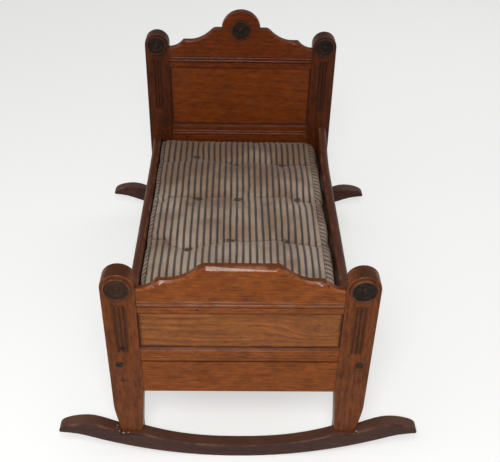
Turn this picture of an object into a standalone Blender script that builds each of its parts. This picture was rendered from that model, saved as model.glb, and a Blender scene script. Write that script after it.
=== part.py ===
# A wooden doll bed that stands on two cross rockers, with a tufted mattress.
# Metres, +Z up. X runs across the bed, Y from the foot (-Y) to the head (+Y), and the floor is Z = 0.
# The origin is the middle of the bed on the floor. Both ends show their worked face towards -Y.

import math

import bmesh
import bpy
from mathutils import Vector

# Fits
SEAT_GAP = 0.0003  # between two pieces that bear on each other
HOLE_GAP = 0.0003  # round a tenon, a peg, a nail or a screw
OVERRUN = 0.003  # how far a cutter runs past the face that it cuts

# Posts
POST_SPACING = 0.2514  # between the centre lines of the two posts of an end
POST_WIDTH = 0.0356
POST_DEPTH = 0.0200
POST_EASE = 0.0009  # rounding of the arrises
POST_ABOVE_CREST = 0.0225  # top of the dome above the end of the crest rail
POST_DOME_STEPS = 20
LEG_OUTER_TAPER = 0.0062
LEG_INNER_TAPER = 0.0050
LEG_OUTER_START = 0.0830  # height where the outer edge starts to draw in
leg_taper_shares = (0.0, 0.2, 0.45, 0.72, 1.0)
leg_outer_power_share = 1.3
leg_inner_power_share = 0.85

# Flutes, three to a post
FLUTE_COUNT = 3
FLUTE_PITCH = 0.0045
FLUTE_WIDTH = 0.0022
FLUTE_DEPTH = 0.0010
FOOT_FLUTE_LENGTH = 0.0670
HEAD_FLUTE_LENGTH = 0.0820
FLUTE_BELOW_ROSETTE = 0.0230  # top of the flutes below the rosette's centre
FLUTE_SIDES = 6

# Boards of the two ends
BOARD_DEPTH = 0.0095
BOARD_RECESS = 0.0020  # behind the faces of the posts
BOARD_EASE = 0.0005
LOWER_RAIL_BOTTOM = 0.1078
LOWER_RAIL_HEIGHT = 0.0672
LOWER_RAIL_CHAMFER = 0.0030
FOOT_PANEL_SHOW = 0.0512  # height of panel in view
HEAD_PANEL_SHOW = 0.0978
PANEL_THICKNESS = 0.0032
PANEL_RECESS = 0.0032  # behind the faces of the boards
GROOVE_DEPTH = 0.0050
TENON_LENGTH = 0.0100
TENON_THICKNESS = 0.0052
TENON_MARGIN = 0.0020  # wood left between a groove and a tenon

# Crest rails
CREST_HEIGHT = 0.0426  # from the lower edge to the shelf
CREST_RISE = 0.0190  # from the shelf to the flat in the middle
CREST_DROP = 0.0118  # from the shelf down to the end at the post
CREST_FLAT_HALF = 0.0385
CREST_SHOULDER = 0.0097  # flat beside the lobe, at the head
CREST_CHAMFER = 0.0036
CREST_STOP = 0.0035  # length in which a chamfer runs out
CREST_CURVE_STEPS = 8
LOBE_RADIUS = 0.0288
LOBE_RISE = 0.0175  # centre of the lobe above the shelf
LOBE_EASE = 0.0010
LOBE_STEPS = 20
# Places along the run from the end of the flat to the post, as shares of that run
crest_nick_share = 0.065
crest_cove_share = 0.540
crest_shelf_share = 0.684
crest_corner_share = 0.713
crest_tail_share = 0.821
# Heights of the nicked corners, as shares of the rise and of the drop
flat_nick_share = 0.870
shelf_nick_share = 0.190
tail_dip_share = 0.950

# Double reeds, worked in the faces of the boards
REED_WIDTH = 0.0034
REED_GROOVE = 0.0009
REED_DEPTH = 0.0013
REED_BELOW_FACE = 0.0002
REED_COUNT = 2
REED_STEPS = 5
CREST_REED_RISE = 0.0079  # first reed above the crest rail's lower edge
LOWER_REED_DROP = 0.0196  # first reed below the lower rail's top edge

# Rockers
ROCKER_HALF_SPAN = 0.2102
ROCKER_DEPTH = 0.0160
ROCKER_PROUD = 0.0050  # in front of the faces of the posts
ROCKER_EASE = 0.0016
ROCKER_SOLE_RADIUS = 0.4530
ROCKER_FLAT_HALF = 0.0120  # half of the flat that wear has left under the middle
ROCKER_WAIST = 0.0200  # height of the rocker in the middle
ROCKER_SEAT_THICKNESS = 0.0231  # under the middle of a post
ROCKER_SEAT_STEP = 0.0033
ROCKER_WING_THICKNESS = 0.0229
ROCKER_TIP_DROP = 0.0085  # how far the tip's underside lies below the sole's arc
ROCKER_TIP_NOSE = 0.0012
ROCKER_STEPS = 10
rocker_crown_share = 0.842  # highest place of a wing, along the half span
rocker_sole_share = 0.850  # end of the sole's arc, along the half span
rocker_sweep_power_share = 2.4
rocker_wing_slope_share = 0.42
rocker_tip_slope_share = 0.10
TONGUE_ABOVE_SOLE = 0.0040

# Side rails
RAIL_LENGTH = 0.4784
RAIL_THICKNESS = 0.0125
RAIL_HEIGHT = 0.0392
RAIL_SETBACK = 0.0050  # from the outer edges of the posts
RAIL_SWEEP = 0.0850  # length in which an end sweeps up
RAIL_FOOT_RISE = 0.0220
RAIL_HEAD_RISE_LEFT = 0.0071
RAIL_HEAD_RISE_RIGHT = 0.0268
RAIL_ROUND = 0.0045
RAIL_EASE = 0.0008
RAIL_STEPS = 8
rail_sweep_power_share = 1.8

# Ledgers and slats
LEDGER_WIDTH = 0.0080
LEDGER_HEIGHT = 0.0080
LEDGER_RISE = 0.0010  # above the bottom edge of the side rail
LEDGER_END_GAP = 0.0010
SLAT_COUNT = 6
SLAT_WIDTH = 0.0320
SLAT_THICKNESS = 0.0050
SLAT_END_GAP = 0.0006
SLAT_EASE = 0.0006

# Mattress
MATTRESS_SIDE_GAP = 0.0008
MATTRESS_END_GAP = 0.0012
MATTRESS_EDGE = 0.0245  # height of its top edge above its underside
MATTRESS_CROWN = 0.0052  # rise of the middle above the edge
MATTRESS_ROLL = 0.0080  # how far the top edge lies inside the fullest part of the side
MATTRESS_CORNER = 0.0180
MATTRESS_DRAW = 0.0022  # how far each row of tufts draws the sides in
TUFT_DEPTH = 0.0062
TUFT_RADIUS = 0.0150
CREASE_DEPTH = 0.0016
CREASE_RADIUS = 0.0110
MATTRESS_CELLS_ACROSS = 18
MATTRESS_CELLS_ALONG = 32
# Places of the tufts, as shares of half the width and half the length
tuft_row_shares = (-0.545, -0.132, 0.304, 0.728)
tuft_place_shares = (
    (-0.56, -0.548), (-0.05, -0.560), (0.54, -0.540),
    (-0.572, -0.207), (-0.102, -0.120), (0.529, -0.124),
    (-0.486, 0.307), (-0.034, 0.307), (0.708, 0.302),
    (-0.568, 0.807), (-0.034, 0.722), (0.546, 0.728),
)
# Rings of the mattress's side: place in from the fullest part as a share of the roll, and height as a share
side_ring_shares = ((0.30, 0.88), (0.0, 0.58), (0.02, 0.34), (0.35, 0.08), (0.80, 0.0))

# Rosettes
ROSETTE_RADIUS = 0.0146
ROSETTE_HEIGHT = 0.0030
ROSETTE_SIDES = 20
PEG_RADIUS = 0.0030
PEG_LENGTH = 0.0060
# Profile of the turned face: radius and height as shares of the rosette's
rosette_profile_shares = (
    (1.00, 0.30), (0.97, 0.72), (0.92, 0.92), (0.87, 0.80), (0.84, 0.42), (0.68, 0.38),
    (0.63, 0.62), (0.56, 0.62), (0.51, 0.36), (0.26, 0.34), (0.20, 0.72), (0.10, 0.98),
)

# Screws and nails
SCREW_SHANK_RADIUS = 0.0019
SCREW_HEAD_RADIUS = 0.0043
SCREW_HEAD_HEIGHT = 0.0015
SCREW_SLOT_WIDTH = 0.0010
SCREW_SLOT_DEPTH = 0.0008
SCREW_SIDES = 12
BED_SCREW_LENGTH = 0.0450
BED_SCREW_OFFSET = 0.0058  # outside the centre line of the post
FOOT_SCREW_HEIGHT = 0.1527
HEAD_SCREW_HEIGHT = 0.1360
ROCKER_SCREW_LENGTH = 0.0180
NAIL_RADIUS = 0.0008
NAIL_HEAD_RADIUS = 0.0018
NAIL_HEAD_HEIGHT = 0.0008
NAIL_BITE = 0.0050  # how far a nail goes into the second piece
NAIL_SIDES = 8
LEDGER_NAIL_COUNT = 3

# Places that follow from the sizes
POST_HALF = POST_WIDTH / 2
POST_X = POST_SPACING / 2
OPENING_HALF = POST_X - POST_HALF
OVERALL_LENGTH = (
    ROCKER_PROUD + 2 * POST_DEPTH + RAIL_LENGTH + 2 * SEAT_GAP + SEAT_GAP + SCREW_HEAD_HEIGHT
)
FOOT_Y = ROCKER_PROUD - OVERALL_LENGTH / 2
HEAD_Y = FOOT_Y + POST_DEPTH + RAIL_LENGTH + 2 * SEAT_GAP
LOWER_RAIL_TOP = LOWER_RAIL_BOTTOM + LOWER_RAIL_HEIGHT
FOOT_CREST_BOTTOM = LOWER_RAIL_TOP + FOOT_PANEL_SHOW
HEAD_CREST_BOTTOM = LOWER_RAIL_TOP + HEAD_PANEL_SHOW
BOARD_BACK = BOARD_RECESS + BOARD_DEPTH
PANEL_FRONT = BOARD_RECESS + PANEL_RECESS
TENON_INSET = GROOVE_DEPTH + HOLE_GAP + TENON_MARGIN
ROCKER_BACK = ROCKER_DEPTH - ROCKER_PROUD  # behind the faces of the posts
LEG_INNER_X = POST_X - POST_HALF + LEG_INNER_TAPER
RAIL_OUTER_X = POST_X + POST_HALF - RAIL_SETBACK
RAIL_INNER_X = RAIL_OUTER_X - RAIL_THICKNESS
RAIL_START = FOOT_Y + POST_DEPTH + SEAT_GAP
RAIL_END = RAIL_START + RAIL_LENGTH
LEDGER_OUTER_X = RAIL_INNER_X - SEAT_GAP
LEDGER_X = LEDGER_OUTER_X - LEDGER_WIDTH / 2
LEDGER_BOTTOM = LOWER_RAIL_BOTTOM + LEDGER_RISE
SLAT_BOTTOM = LEDGER_BOTTOM + LEDGER_HEIGHT + SEAT_GAP
SLAT_TOP = SLAT_BOTTOM + SLAT_THICKNESS
SLAT_PITCH = RAIL_LENGTH / SLAT_COUNT
REED_BAND = REED_COUNT * REED_WIDTH + (REED_COUNT + 1) * REED_GROOVE
MATTRESS_BOTTOM = SLAT_TOP + SEAT_GAP

# Colours from the photograph, with roughness and metallic value
PALE_WOOD = ((0.46, 0.21, 0.075), 0.38, 0.0)
BROWN_WOOD = ((0.36, 0.14, 0.05), 0.40, 0.0)
RED_WOOD = ((0.24, 0.075, 0.035), 0.42, 0.0)
PLAIN_WOOD = ((0.42, 0.27, 0.14), 0.70, 0.0)
EBONISED = ((0.025, 0.022, 0.022), 0.45, 0.0)
DARK_STEEL = ((0.09, 0.085, 0.08), 0.45, 1.0)
TICKING = ((0.55, 0.46, 0.36), 0.95, 0.0)


def clear_scene():
    for obj in list(bpy.data.objects):
        bpy.data.objects.remove(obj, do_unlink=True)


def finish(obj, look):
    """Gives a piece its own material."""
    colour, roughness, metallic = look
    material = bpy.data.materials.new(obj.name)
    material.use_nodes = True
    shader = material.node_tree.nodes["Principled BSDF"]
    shader.inputs["Base Color"].default_value = (*colour, 1)
    shader.inputs["Roughness"].default_value = roughness
    shader.inputs["Metallic"].default_value = metallic
    obj.data.materials.append(material)
    return obj


def add_object(name, bm):
    bmesh.ops.recalc_face_normals(bm, faces=bm.faces)
    mesh = bpy.data.meshes.new(name)
    bm.to_mesh(mesh)
    bm.free()
    obj = bpy.data.objects.new(name, mesh)
    bpy.context.scene.collection.objects.link(obj)
    return obj


def shade(obj, angle=math.radians(35)):
    obj.data.shade_smooth()
    obj.data.set_sharp_from_angle(angle=angle)
    return obj


# Board planes: outline (a, b) at depth d
def across(a, b, d):
    return (a, d, b)


def along(a, b, d):
    return (d, a, b)


def flat(a, b, d):
    return (a, b, d)


def inset_directions(outline):
    """Unit mitres that lead inwards from each point of a closed outline, unless the point names its own."""
    points = [Vector(point[:2]) for point in outline]
    area = sum(a.x * b.y - b.x * a.y for a, b in zip(points, points[1:] + points[:1]))
    turn = 1 if area > 0 else -1
    found = []
    for i, point in enumerate(points):
        before = (point - points[i - 1]).normalized()
        after = (points[(i + 1) % len(points)] - point).normalized()
        first = Vector((-before.y, before.x)) * turn
        second = Vector((-after.y, after.x)) * turn
        found.append((first + second) / max(1 + first.dot(second), 0.5))
    for i, point in enumerate(outline):
        if len(point) > 3 and point[3]:
            found[i] = Vector(point[3])
    return points, found


def board(name, outline, plane, front, back, back_ease=None, steps=1):
    """A board between two depths. Each outline point is (a, b, ease) or (a, b, ease, inset direction).

    The arrises are eased by that much at both faces: a chamfer with one step, a rounding with more.
    """
    points, inwards = inset_directions(outline)
    sign = 1 if back > front else -1
    bm = bmesh.new()
    rows = []
    for face, into, own in ((front, sign, None), (back, -sign, back_ease)):
        made = []
        for step in range(steps + 1):
            angle = math.pi / 2 * step / steps
            row = []
            for point, inward, source in zip(points, inwards, outline):
                ease = source[2] if own is None else min(source[2], own)
                place = point + inward * ease * (1 - math.sin(angle))
                depth = face + into * ease * (1 - math.cos(angle))
                row.append(bm.verts.new(plane(place.x, place.y, depth)))
            made.append(row)
        rows += made if own is None and into == sign and not rows else made[::-1]
    count = len(points)
    for lower, upper in zip(rows, rows[1:]):
        for i in range(count):
            j = (i + 1) % count
            bm.faces.new((lower[i], lower[j], upper[j], upper[i]))
    bm.faces.new(rows[0])
    bm.faces.new(rows[-1])
    return add_object(name, bm)


def eased(outline, ease):
    return [(a, b, ease) for a, b in outline]


def box(name, low, high):
    bm = bmesh.new()
    bmesh.ops.create_cube(bm, size=1)
    size = Vector(high) - Vector(low)
    middle = (Vector(high) + Vector(low)) / 2
    for vert in bm.verts:
        vert.co = Vector(c * s for c, s in zip(vert.co, size)) + middle
    return add_object(name, bm)


def prism(name, section, plane, low, high):
    """A section drawn in a plane, run between two depths with square ends."""
    bm = bmesh.new()
    ends = [[bm.verts.new(plane(a, b, depth)) for a, b in section] for depth in (low, high)]
    for i in range(len(section)):
        j = (i + 1) % len(section)
        bm.faces.new((ends[0][i], ends[0][j], ends[1][j], ends[1][i]))
    bm.faces.new(ends[0])
    bm.faces.new(ends[1])
    return add_object(name, bm)


def turned(name, profile, place, axis, sides):
    """A profile of (radius, height) turned round an axis from a place. A radius of zero is a pole."""
    axis = Vector(axis).normalized()
    first = axis.orthogonal().normalized()
    second = axis.cross(first)
    bm = bmesh.new()
    rings = []
    for radius, height in profile:
        centre = Vector(place) + axis * height
        if radius == 0:
            rings.append([bm.verts.new(centre)])
            continue
        turns = [2 * math.pi * i / sides for i in range(sides)]
        rings.append(
            [bm.verts.new(centre + (first * math.cos(t) + second * math.sin(t)) * radius) for t in turns]
        )
    for lower, upper in zip(rings, rings[1:]):
        for i in range(sides):
            j = (i + 1) % sides
            corners = [lower[i % len(lower)], lower[j % len(lower)], upper[j % len(upper)], upper[i % len(upper)]]
            bm.faces.new(list(dict.fromkeys(corners)))
    return add_object(name, bm)


def cut(target, cutter, operation="DIFFERENCE"):
    """Cuts one shape from a piece, or joins it on, and keeps it as a hidden guide."""
    modifier = target.modifiers.new(cutter.name, "BOOLEAN")
    modifier.operation = operation
    modifier.solver = "EXACT"
    modifier.object = cutter
    cutter.hide_render = True
    cutter.display_type = "WIRE"


def bezier(start, control, end, steps):
    """Points of a quadratic curve, both ends included."""
    points = []
    for i in range(steps + 1):
        t = i / steps
        points.append(
            tuple((1 - t) ** 2 * a + 2 * t * (1 - t) * b + t * t * c for a, b, c in zip(start, control, end))
        )
    return points


def hermite(start, end, start_slope, end_slope, steps):
    """Heights that leave one point and reach another with given slopes, both ends included."""
    run = end[0] - start[0]
    points = []
    for i in range(steps + 1):
        t = i / steps
        height = (2 * t**3 - 3 * t**2 + 1) * start[1] + (3 * t**2 - 2 * t**3) * end[1]
        height += (t**3 - 2 * t**2 + t) * run * start_slope + (t**3 - t**2) * run * end_slope
        points.append((start[0] + t * run, height))
    return points


def stopped_chamfer(points, stop_start=True, stop_end=True):
    """Gives each point of a stretch its chamfer, which runs out towards the stopped ends."""
    lengths = [0.0]
    for a, b in zip(points, points[1:]):
        lengths.append(lengths[-1] + math.dist(a, b))
    total = lengths[-1]
    stop = min(CREST_STOP, total / 3)
    wanted = sorted(set(lengths) | {stop, total - stop})
    merged = [wanted[0]] + [b for a, b in zip(wanted, wanted[1:]) if b - a > BOARD_EASE / 5]
    out = []
    for length in merged:
        k = max(i for i, start in enumerate(lengths[:-1]) if start <= length)
        t = (length - lengths[k]) / (lengths[k + 1] - lengths[k])
        place = [a + (b - a) * min(t, 1) for a, b in zip(points[k], points[k + 1])]
        share = 1.0
        if stop_start:
            share = min(share, length / stop)
        if stop_end:
            share = min(share, (total - length) / stop)
        out.append((*place, BOARD_EASE + (CREST_CHAMFER - BOARD_EASE) * max(share, 0)))
    return out


def crest_outline(bottom, lobed):
    """The closed outline of a crest rail between its shoulders, with the chamfer at each point."""
    shelf = bottom + CREST_HEIGHT
    top = shelf + CREST_RISE
    end_z = shelf - CREST_DROP
    lobe_half = math.sqrt(LOBE_RADIUS**2 - (CREST_RISE - LOBE_RISE) ** 2)
    flat_half = lobe_half + CREST_SHOULDER if lobed else CREST_FLAT_HALF
    run = OPENING_HALF - flat_half
    nick = (flat_half + crest_nick_share * run, shelf + flat_nick_share * CREST_RISE)
    cove_end = (flat_half + crest_cove_share * run, shelf)
    cove_turn = ((nick[0] + cove_end[0]) / 2, shelf)
    shelf_end = (flat_half + crest_shelf_share * run, shelf)
    corner = (flat_half + crest_corner_share * run, shelf - shelf_nick_share * CREST_DROP)
    tail_turn = (flat_half + crest_tail_share * run, shelf - tail_dip_share * CREST_DROP)
    cove = bezier(nick, cove_turn, cove_end, CREST_CURVE_STEPS) + [shelf_end]
    tail = bezier(corner, tail_turn, (OPENING_HALF, end_z), CREST_CURVE_STEPS // 2)
    right = stopped_chamfer(cove) + stopped_chamfer(tail, stop_end=False)
    right[-1] = (*right[-1], (0, -1))
    left = [(-point[0], *point[1:]) for point in right[::-1]]
    if lobed:
        centre = shelf + LOBE_RISE
        start = math.asin((CREST_RISE - LOBE_RISE) / LOBE_RADIUS)
        turns = [start + (math.pi - 2 * start) * i / LOBE_STEPS for i in range(LOBE_STEPS + 1)]
        arc = [(LOBE_RADIUS * math.cos(t), centre + LOBE_RADIUS * math.sin(t), LOBE_EASE) for t in turns]
        middle = [(flat_half, top, BOARD_EASE)] + arc + [(-flat_half, top, BOARD_EASE)]
    else:
        middle = stopped_chamfer([(flat_half, top), (-flat_half, top)])
    lower = [(-OPENING_HALF, bottom, BOARD_EASE, (0, 1)), (OPENING_HALF, bottom, BOARD_EASE, (0, 1))]
    return lower + right[::-1] + middle + left[::-1]


def reed_cutter(name, face, lowest):
    """Takes the ground away round the reeds of a board whose face is at the given depth."""
    section = [(face - OVERRUN, lowest), (face + REED_DEPTH, lowest)]
    for reed in range(REED_COUNT):
        start = lowest + REED_GROOVE + reed * (REED_WIDTH + REED_GROOVE)
        for i in range(REED_STEPS + 1):
            angle = math.pi * i / REED_STEPS
            depth = face + REED_DEPTH - (REED_DEPTH - REED_BELOW_FACE) * math.sin(angle)
            section.append((depth, start + REED_WIDTH / 2 * (1 - math.cos(angle))))
    section += [(face + REED_DEPTH, lowest + REED_BAND), (face - OVERRUN, lowest + REED_BAND)]
    reach = OPENING_HALF + OVERRUN
    return prism(name, section, along, -reach, reach)


def add_tenons(rail, y_face, low, high):
    """A tenon at each end, made as one tongue that runs right through the board."""
    middle = y_face + BOARD_RECESS + BOARD_DEPTH / 2
    reach = OPENING_HALF + TENON_LENGTH
    half = TENON_THICKNESS / 2
    tongue = box(rail.name + "_tongue", (-reach, middle - half, low), (reach, middle + half, high))
    cut(rail, tongue, "UNION")


def panel_groove(name, y_face, low, high):
    reach = OPENING_HALF + OVERRUN
    front = y_face + PANEL_FRONT - HOLE_GAP
    return box(name, (-reach, front, low), (reach, front + PANEL_THICKNESS + 2 * HOLE_GAP, high))


def crest_rail(end, y_face, bottom, lobed):
    face = y_face + BOARD_RECESS
    outline = crest_outline(bottom, lobed)
    rail = board(f"{end}_crest_rail", outline, across, face, face + BOARD_DEPTH, back_ease=BOARD_EASE)
    low, high = crest_tenon(bottom)
    add_tenons(rail, y_face, low, high)
    cut(rail, panel_groove(f"{end}_crest_groove", y_face, bottom - OVERRUN, bottom + GROOVE_DEPTH + HOLE_GAP))
    cut(rail, reed_cutter(f"{end}_crest_reeds", face, bottom + CREST_REED_RISE))
    if lobed:
        place = (0, face, bottom + CREST_HEIGHT + LOBE_RISE)
        cut(rail, peg_hole(f"{end}_crest_peg_hole", place))
    return finish(shade(rail), BROWN_WOOD)


def crest_tenon(bottom):
    """Lowest and highest place of the crest rail's tenons."""
    end_height = bottom + CREST_HEIGHT - CREST_DROP
    return bottom + TENON_INSET, end_height - TENON_INSET


def lower_tenon():
    return LOWER_RAIL_BOTTOM + TENON_INSET, LOWER_RAIL_TOP - TENON_INSET


def lower_rail(end, y_face):
    face = y_face + BOARD_RECESS
    outline = [
        (-OPENING_HALF, LOWER_RAIL_BOTTOM, BOARD_EASE, (0, 1)),
        (OPENING_HALF, LOWER_RAIL_BOTTOM, BOARD_EASE, (0, 1)),
        (OPENING_HALF, LOWER_RAIL_TOP, LOWER_RAIL_CHAMFER, (0, -1)),
        (-OPENING_HALF, LOWER_RAIL_TOP, LOWER_RAIL_CHAMFER, (0, -1)),
    ]
    rail = board(f"{end}_lower_rail", outline, across, face, face + BOARD_DEPTH, back_ease=BOARD_EASE)
    add_tenons(rail, y_face, *lower_tenon())
    deep = LOWER_RAIL_TOP - GROOVE_DEPTH - HOLE_GAP
    cut(rail, panel_groove(f"{end}_lower_groove", y_face, deep, LOWER_RAIL_TOP + OVERRUN))
    reeds = LOWER_RAIL_TOP - LOWER_REED_DROP
    cut(rail, reed_cutter(f"{end}_lower_reeds", face, reeds))
    return finish(shade(rail), BROWN_WOOD)


def panel(end, y_face, crest_bottom):
    reach = OPENING_HALF + GROOVE_DEPTH
    low = LOWER_RAIL_TOP - GROOVE_DEPTH
    high = crest_bottom + GROOVE_DEPTH
    outline = [(-reach, low), (reach, low), (reach, high), (-reach, high)]
    front = y_face + PANEL_FRONT
    piece = board(f"{end}_panel", eased(outline, BOARD_EASE), across, front, front + PANEL_THICKNESS)
    return finish(piece, PALE_WOOD)


def post_outline(side, crest_bottom):
    """The outline of a post, with its leg drawn in on both edges and a half-round top."""
    top = crest_bottom + CREST_HEIGHT - CREST_DROP + POST_ABOVE_CREST
    dome = top - POST_HALF
    tongue_end = rocker_sole(POST_X) + TONGUE_ABOVE_SOLE
    outer, inner = [], []
    for share in leg_taper_shares:
        height = LEG_OUTER_START + (seat_height() - LEG_OUTER_START) * share
        outer.append((leg_outer_x(height) - POST_X, height))
        height = LOWER_RAIL_BOTTOM + (seat_height() - LOWER_RAIL_BOTTOM) * share
        inner.append((-POST_HALF + LEG_INNER_TAPER * share**leg_inner_power_share, height))
    turns = [math.pi * i / POST_DOME_STEPS for i in range(POST_DOME_STEPS + 1)]
    arc = [(POST_HALF * math.cos(t), dome + POST_HALF * math.sin(t)) for t in turns]
    points = [(outer[-1][0], tongue_end)] + outer[::-1] + arc + inner + [(inner[-1][0], tongue_end)]
    return [(side * (POST_X + x), z) for x, z in points], dome


def leg_outer_x(height):
    """Where the outer edge of a leg is at a height, out from the middle of the bed."""
    share = max(LEG_OUTER_START - height, 0) / (LEG_OUTER_START - seat_height())
    return POST_X + POST_HALF - LEG_OUTER_TAPER * share**leg_outer_power_share


def rocker_sole(x):
    """Height of the sole's arc above the floor, level across the worn flat."""
    flat_height = ROCKER_SOLE_RADIUS - math.sqrt(ROCKER_SOLE_RADIUS**2 - ROCKER_FLAT_HALF**2)
    if abs(x) <= ROCKER_FLAT_HALF:
        return 0.0
    return ROCKER_SOLE_RADIUS - math.sqrt(ROCKER_SOLE_RADIUS**2 - x * x) - flat_height


def seat_height():
    return rocker_sole(POST_X) + ROCKER_SEAT_THICKNESS


def rocker_outline():
    """The right half of a rocker, from the middle of the sole round the tip to the middle of the top."""
    sole_end = rocker_sole_share * ROCKER_HALF_SPAN
    crown_x = rocker_crown_share * ROCKER_HALF_SPAN
    sole = [(ROCKER_FLAT_HALF, 0.0)]
    for i in range(1, ROCKER_STEPS + 1):
        x = ROCKER_FLAT_HALF + (sole_end - ROCKER_FLAT_HALF) * i / ROCKER_STEPS
        sole.append((x, rocker_sole(x)))
    slope = sole_end / math.sqrt(ROCKER_SOLE_RADIUS**2 - sole_end**2)
    tip_z = rocker_sole(ROCKER_HALF_SPAN) - ROCKER_TIP_DROP
    tip = (ROCKER_HALF_SPAN - ROCKER_TIP_NOSE, tip_z)
    under = hermite(sole[-1], tip, slope, rocker_tip_slope_share, ROCKER_STEPS // 3)[1:]
    crown_z = rocker_sole(crown_x) + ROCKER_WING_THICKNESS
    nose_z = tip_z + ROCKER_TIP_NOSE
    nose = []
    for i in range(ROCKER_STEPS):
        angle = math.pi / 2 * i / ROCKER_STEPS
        nose.append(
            (
                crown_x + (ROCKER_HALF_SPAN - crown_x) * math.cos(angle),
                nose_z + (crown_z - nose_z) * math.sin(angle),
            )
        )
    seat = seat_height()
    seat_outer = leg_outer_x(seat + ROCKER_SEAT_STEP) + SEAT_GAP
    seat_inner = LEG_INNER_X - SEAT_GAP
    wing_start = (seat_outer, seat + ROCKER_SEAT_STEP)
    wing = hermite(wing_start, (crown_x, crown_z), rocker_wing_slope_share, 0, ROCKER_STEPS // 2)
    sweep = []
    for i in range(ROCKER_STEPS, -1, -1):
        x = seat_inner * i / ROCKER_STEPS
        sweep.append((x, ROCKER_WAIST + (seat - ROCKER_WAIST) * (x / seat_inner) ** rocker_sweep_power_share))
    return sole + under + nose + wing[::-1] + [(seat_outer, seat)] + sweep


def rocker(end, y_face):
    half = rocker_outline()
    outline = half + [(-x, z) for x, z in half[-2::-1]]
    front = y_face - ROCKER_PROUD
    piece = board(f"{end}_rocker", eased(outline, ROCKER_EASE), across, front, front + ROCKER_DEPTH)
    for side, word in ((-1, "left"), (1, "right")):
        place = (side * POST_X, y_face + POST_DEPTH + SEAT_GAP, rocker_screw_height())
        hole = screw_hole(f"{end}_rocker_screw_hole_{word}", place, (0, -1, 0), ROCKER_SCREW_LENGTH)
        cut(piece, hole)
    return finish(shade(piece), RED_WOOD)


def rocker_screw_height():
    return (rocker_sole(POST_X) + TONGUE_ABOVE_SOLE + seat_height()) / 2


def post(end, y_face, side, crest_bottom):
    """A post with its mortises, groove, flutes, screw holes and the notch that stands over the rocker."""
    word = "left" if side < 0 else "right"
    name = f"{end}_post_{word}"
    outline, dome = post_outline(side, crest_bottom)
    piece = board(name, eased(outline, POST_EASE), across, y_face, y_face + POST_DEPTH, steps=2)
    notch_low = (side * POST_X - POST_WIDTH, y_face - OVERRUN, 0)
    notch_high = (side * POST_X + POST_WIDTH, y_face + ROCKER_BACK + SEAT_GAP, seat_height() + SEAT_GAP)
    cut(piece, box(f"{name}_notch", notch_low, notch_high))
    middle = y_face + BOARD_RECESS + BOARD_DEPTH / 2
    half = TENON_THICKNESS / 2 + HOLE_GAP
    reach = OPENING_HALF + TENON_LENGTH + HOLE_GAP
    for kind, (low, high) in (("crest", crest_tenon(crest_bottom)), ("lower", lower_tenon())):
        xs = sorted((side * (OPENING_HALF - OVERRUN), side * reach))
        mortise = box(
            f"{name}_{kind}_mortise",
            (xs[0], middle - half, low - HOLE_GAP),
            (xs[1], middle + half, high + HOLE_GAP),
        )
        cut(piece, mortise)
    xs = sorted((side * (OPENING_HALF - OVERRUN), side * (OPENING_HALF + GROOVE_DEPTH + HOLE_GAP)))
    front = y_face + PANEL_FRONT - HOLE_GAP
    groove = box(
        f"{name}_groove",
        (xs[0], front, LOWER_RAIL_TOP - GROOVE_DEPTH - HOLE_GAP),
        (xs[1], front + PANEL_THICKNESS + 2 * HOLE_GAP, crest_bottom + GROOVE_DEPTH + HOLE_GAP),
    )
    cut(piece, groove)
    flute_length = FOOT_FLUTE_LENGTH if end == "foot" else HEAD_FLUTE_LENGTH
    for flute in range(FLUTE_COUNT):
        x = side * POST_X + (flute - (FLUTE_COUNT - 1) / 2) * FLUTE_PITCH
        cut(piece, flute_cutter(f"{name}_flute_{flute}", x, y_face, dome - FLUTE_BELOW_ROSETTE, flute_length))
    cut(piece, peg_hole(f"{name}_peg_hole", (side * POST_X, y_face, dome)))
    place, axis = bed_screw_place(end, y_face, side)
    cut(piece, screw_hole(f"{name}_bed_screw_hole", place, axis, BED_SCREW_LENGTH))
    place = (side * POST_X, y_face + POST_DEPTH + SEAT_GAP, rocker_screw_height())
    cut(piece, screw_hole(f"{name}_rocker_screw_hole", place, (0, -1, 0), ROCKER_SCREW_LENGTH))
    return finish(shade(piece), RED_WOOD)


def flute_cutter(name, x, y_face, top, length):
    """A long boat-shaped cutter that lies in the face of the post."""
    radius = (FLUTE_WIDTH**2 / 4 + FLUTE_DEPTH**2) / (2 * FLUTE_DEPTH)
    centre = Vector((x, y_face + FLUTE_DEPTH - radius, top - length))
    end_run = math.sqrt(radius**2 - (radius - FLUTE_DEPTH) ** 2)
    profile = [(0, end_run - radius)]
    for i in range(1, FLUTE_SIDES // 2 + 1):
        angle = math.pi / 2 * i / (FLUTE_SIDES // 2)
        profile.append((radius * math.sin(angle), end_run - radius * math.cos(angle)))
    straight = length - 2 * end_run
    profile += [(r, 2 * end_run + straight - h) for r, h in profile[::-1]]
    return turned(name, profile, centre, (0, 0, 1), FLUTE_SIDES * 2)


def peg_hole(name, place):
    """A hole behind a rosette, for its peg."""
    profile = [(0, -OVERRUN), (PEG_RADIUS + HOLE_GAP, -OVERRUN)]
    profile += [(PEG_RADIUS + HOLE_GAP, PEG_LENGTH + HOLE_GAP), (0, PEG_LENGTH + HOLE_GAP)]
    return turned(name, profile, place, (0, 1, 0), ROSETTE_SIDES // 2)


def rosette(name, place):
    """A turned rosette with a raised rim, rings and a nub, and the peg behind it."""
    profile = [(0, -PEG_LENGTH), (PEG_RADIUS, -PEG_LENGTH), (PEG_RADIUS, 0), (ROSETTE_RADIUS, 0)]
    profile += [(r * ROSETTE_RADIUS, h * ROSETTE_HEIGHT) for r, h in rosette_profile_shares]
    profile.append((0, ROSETTE_HEIGHT))
    x, y, z = place
    piece = turned(name, profile, (x, y - SEAT_GAP, z), (0, -1, 0), ROSETTE_SIDES)
    return finish(shade(piece), EBONISED)


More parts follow.
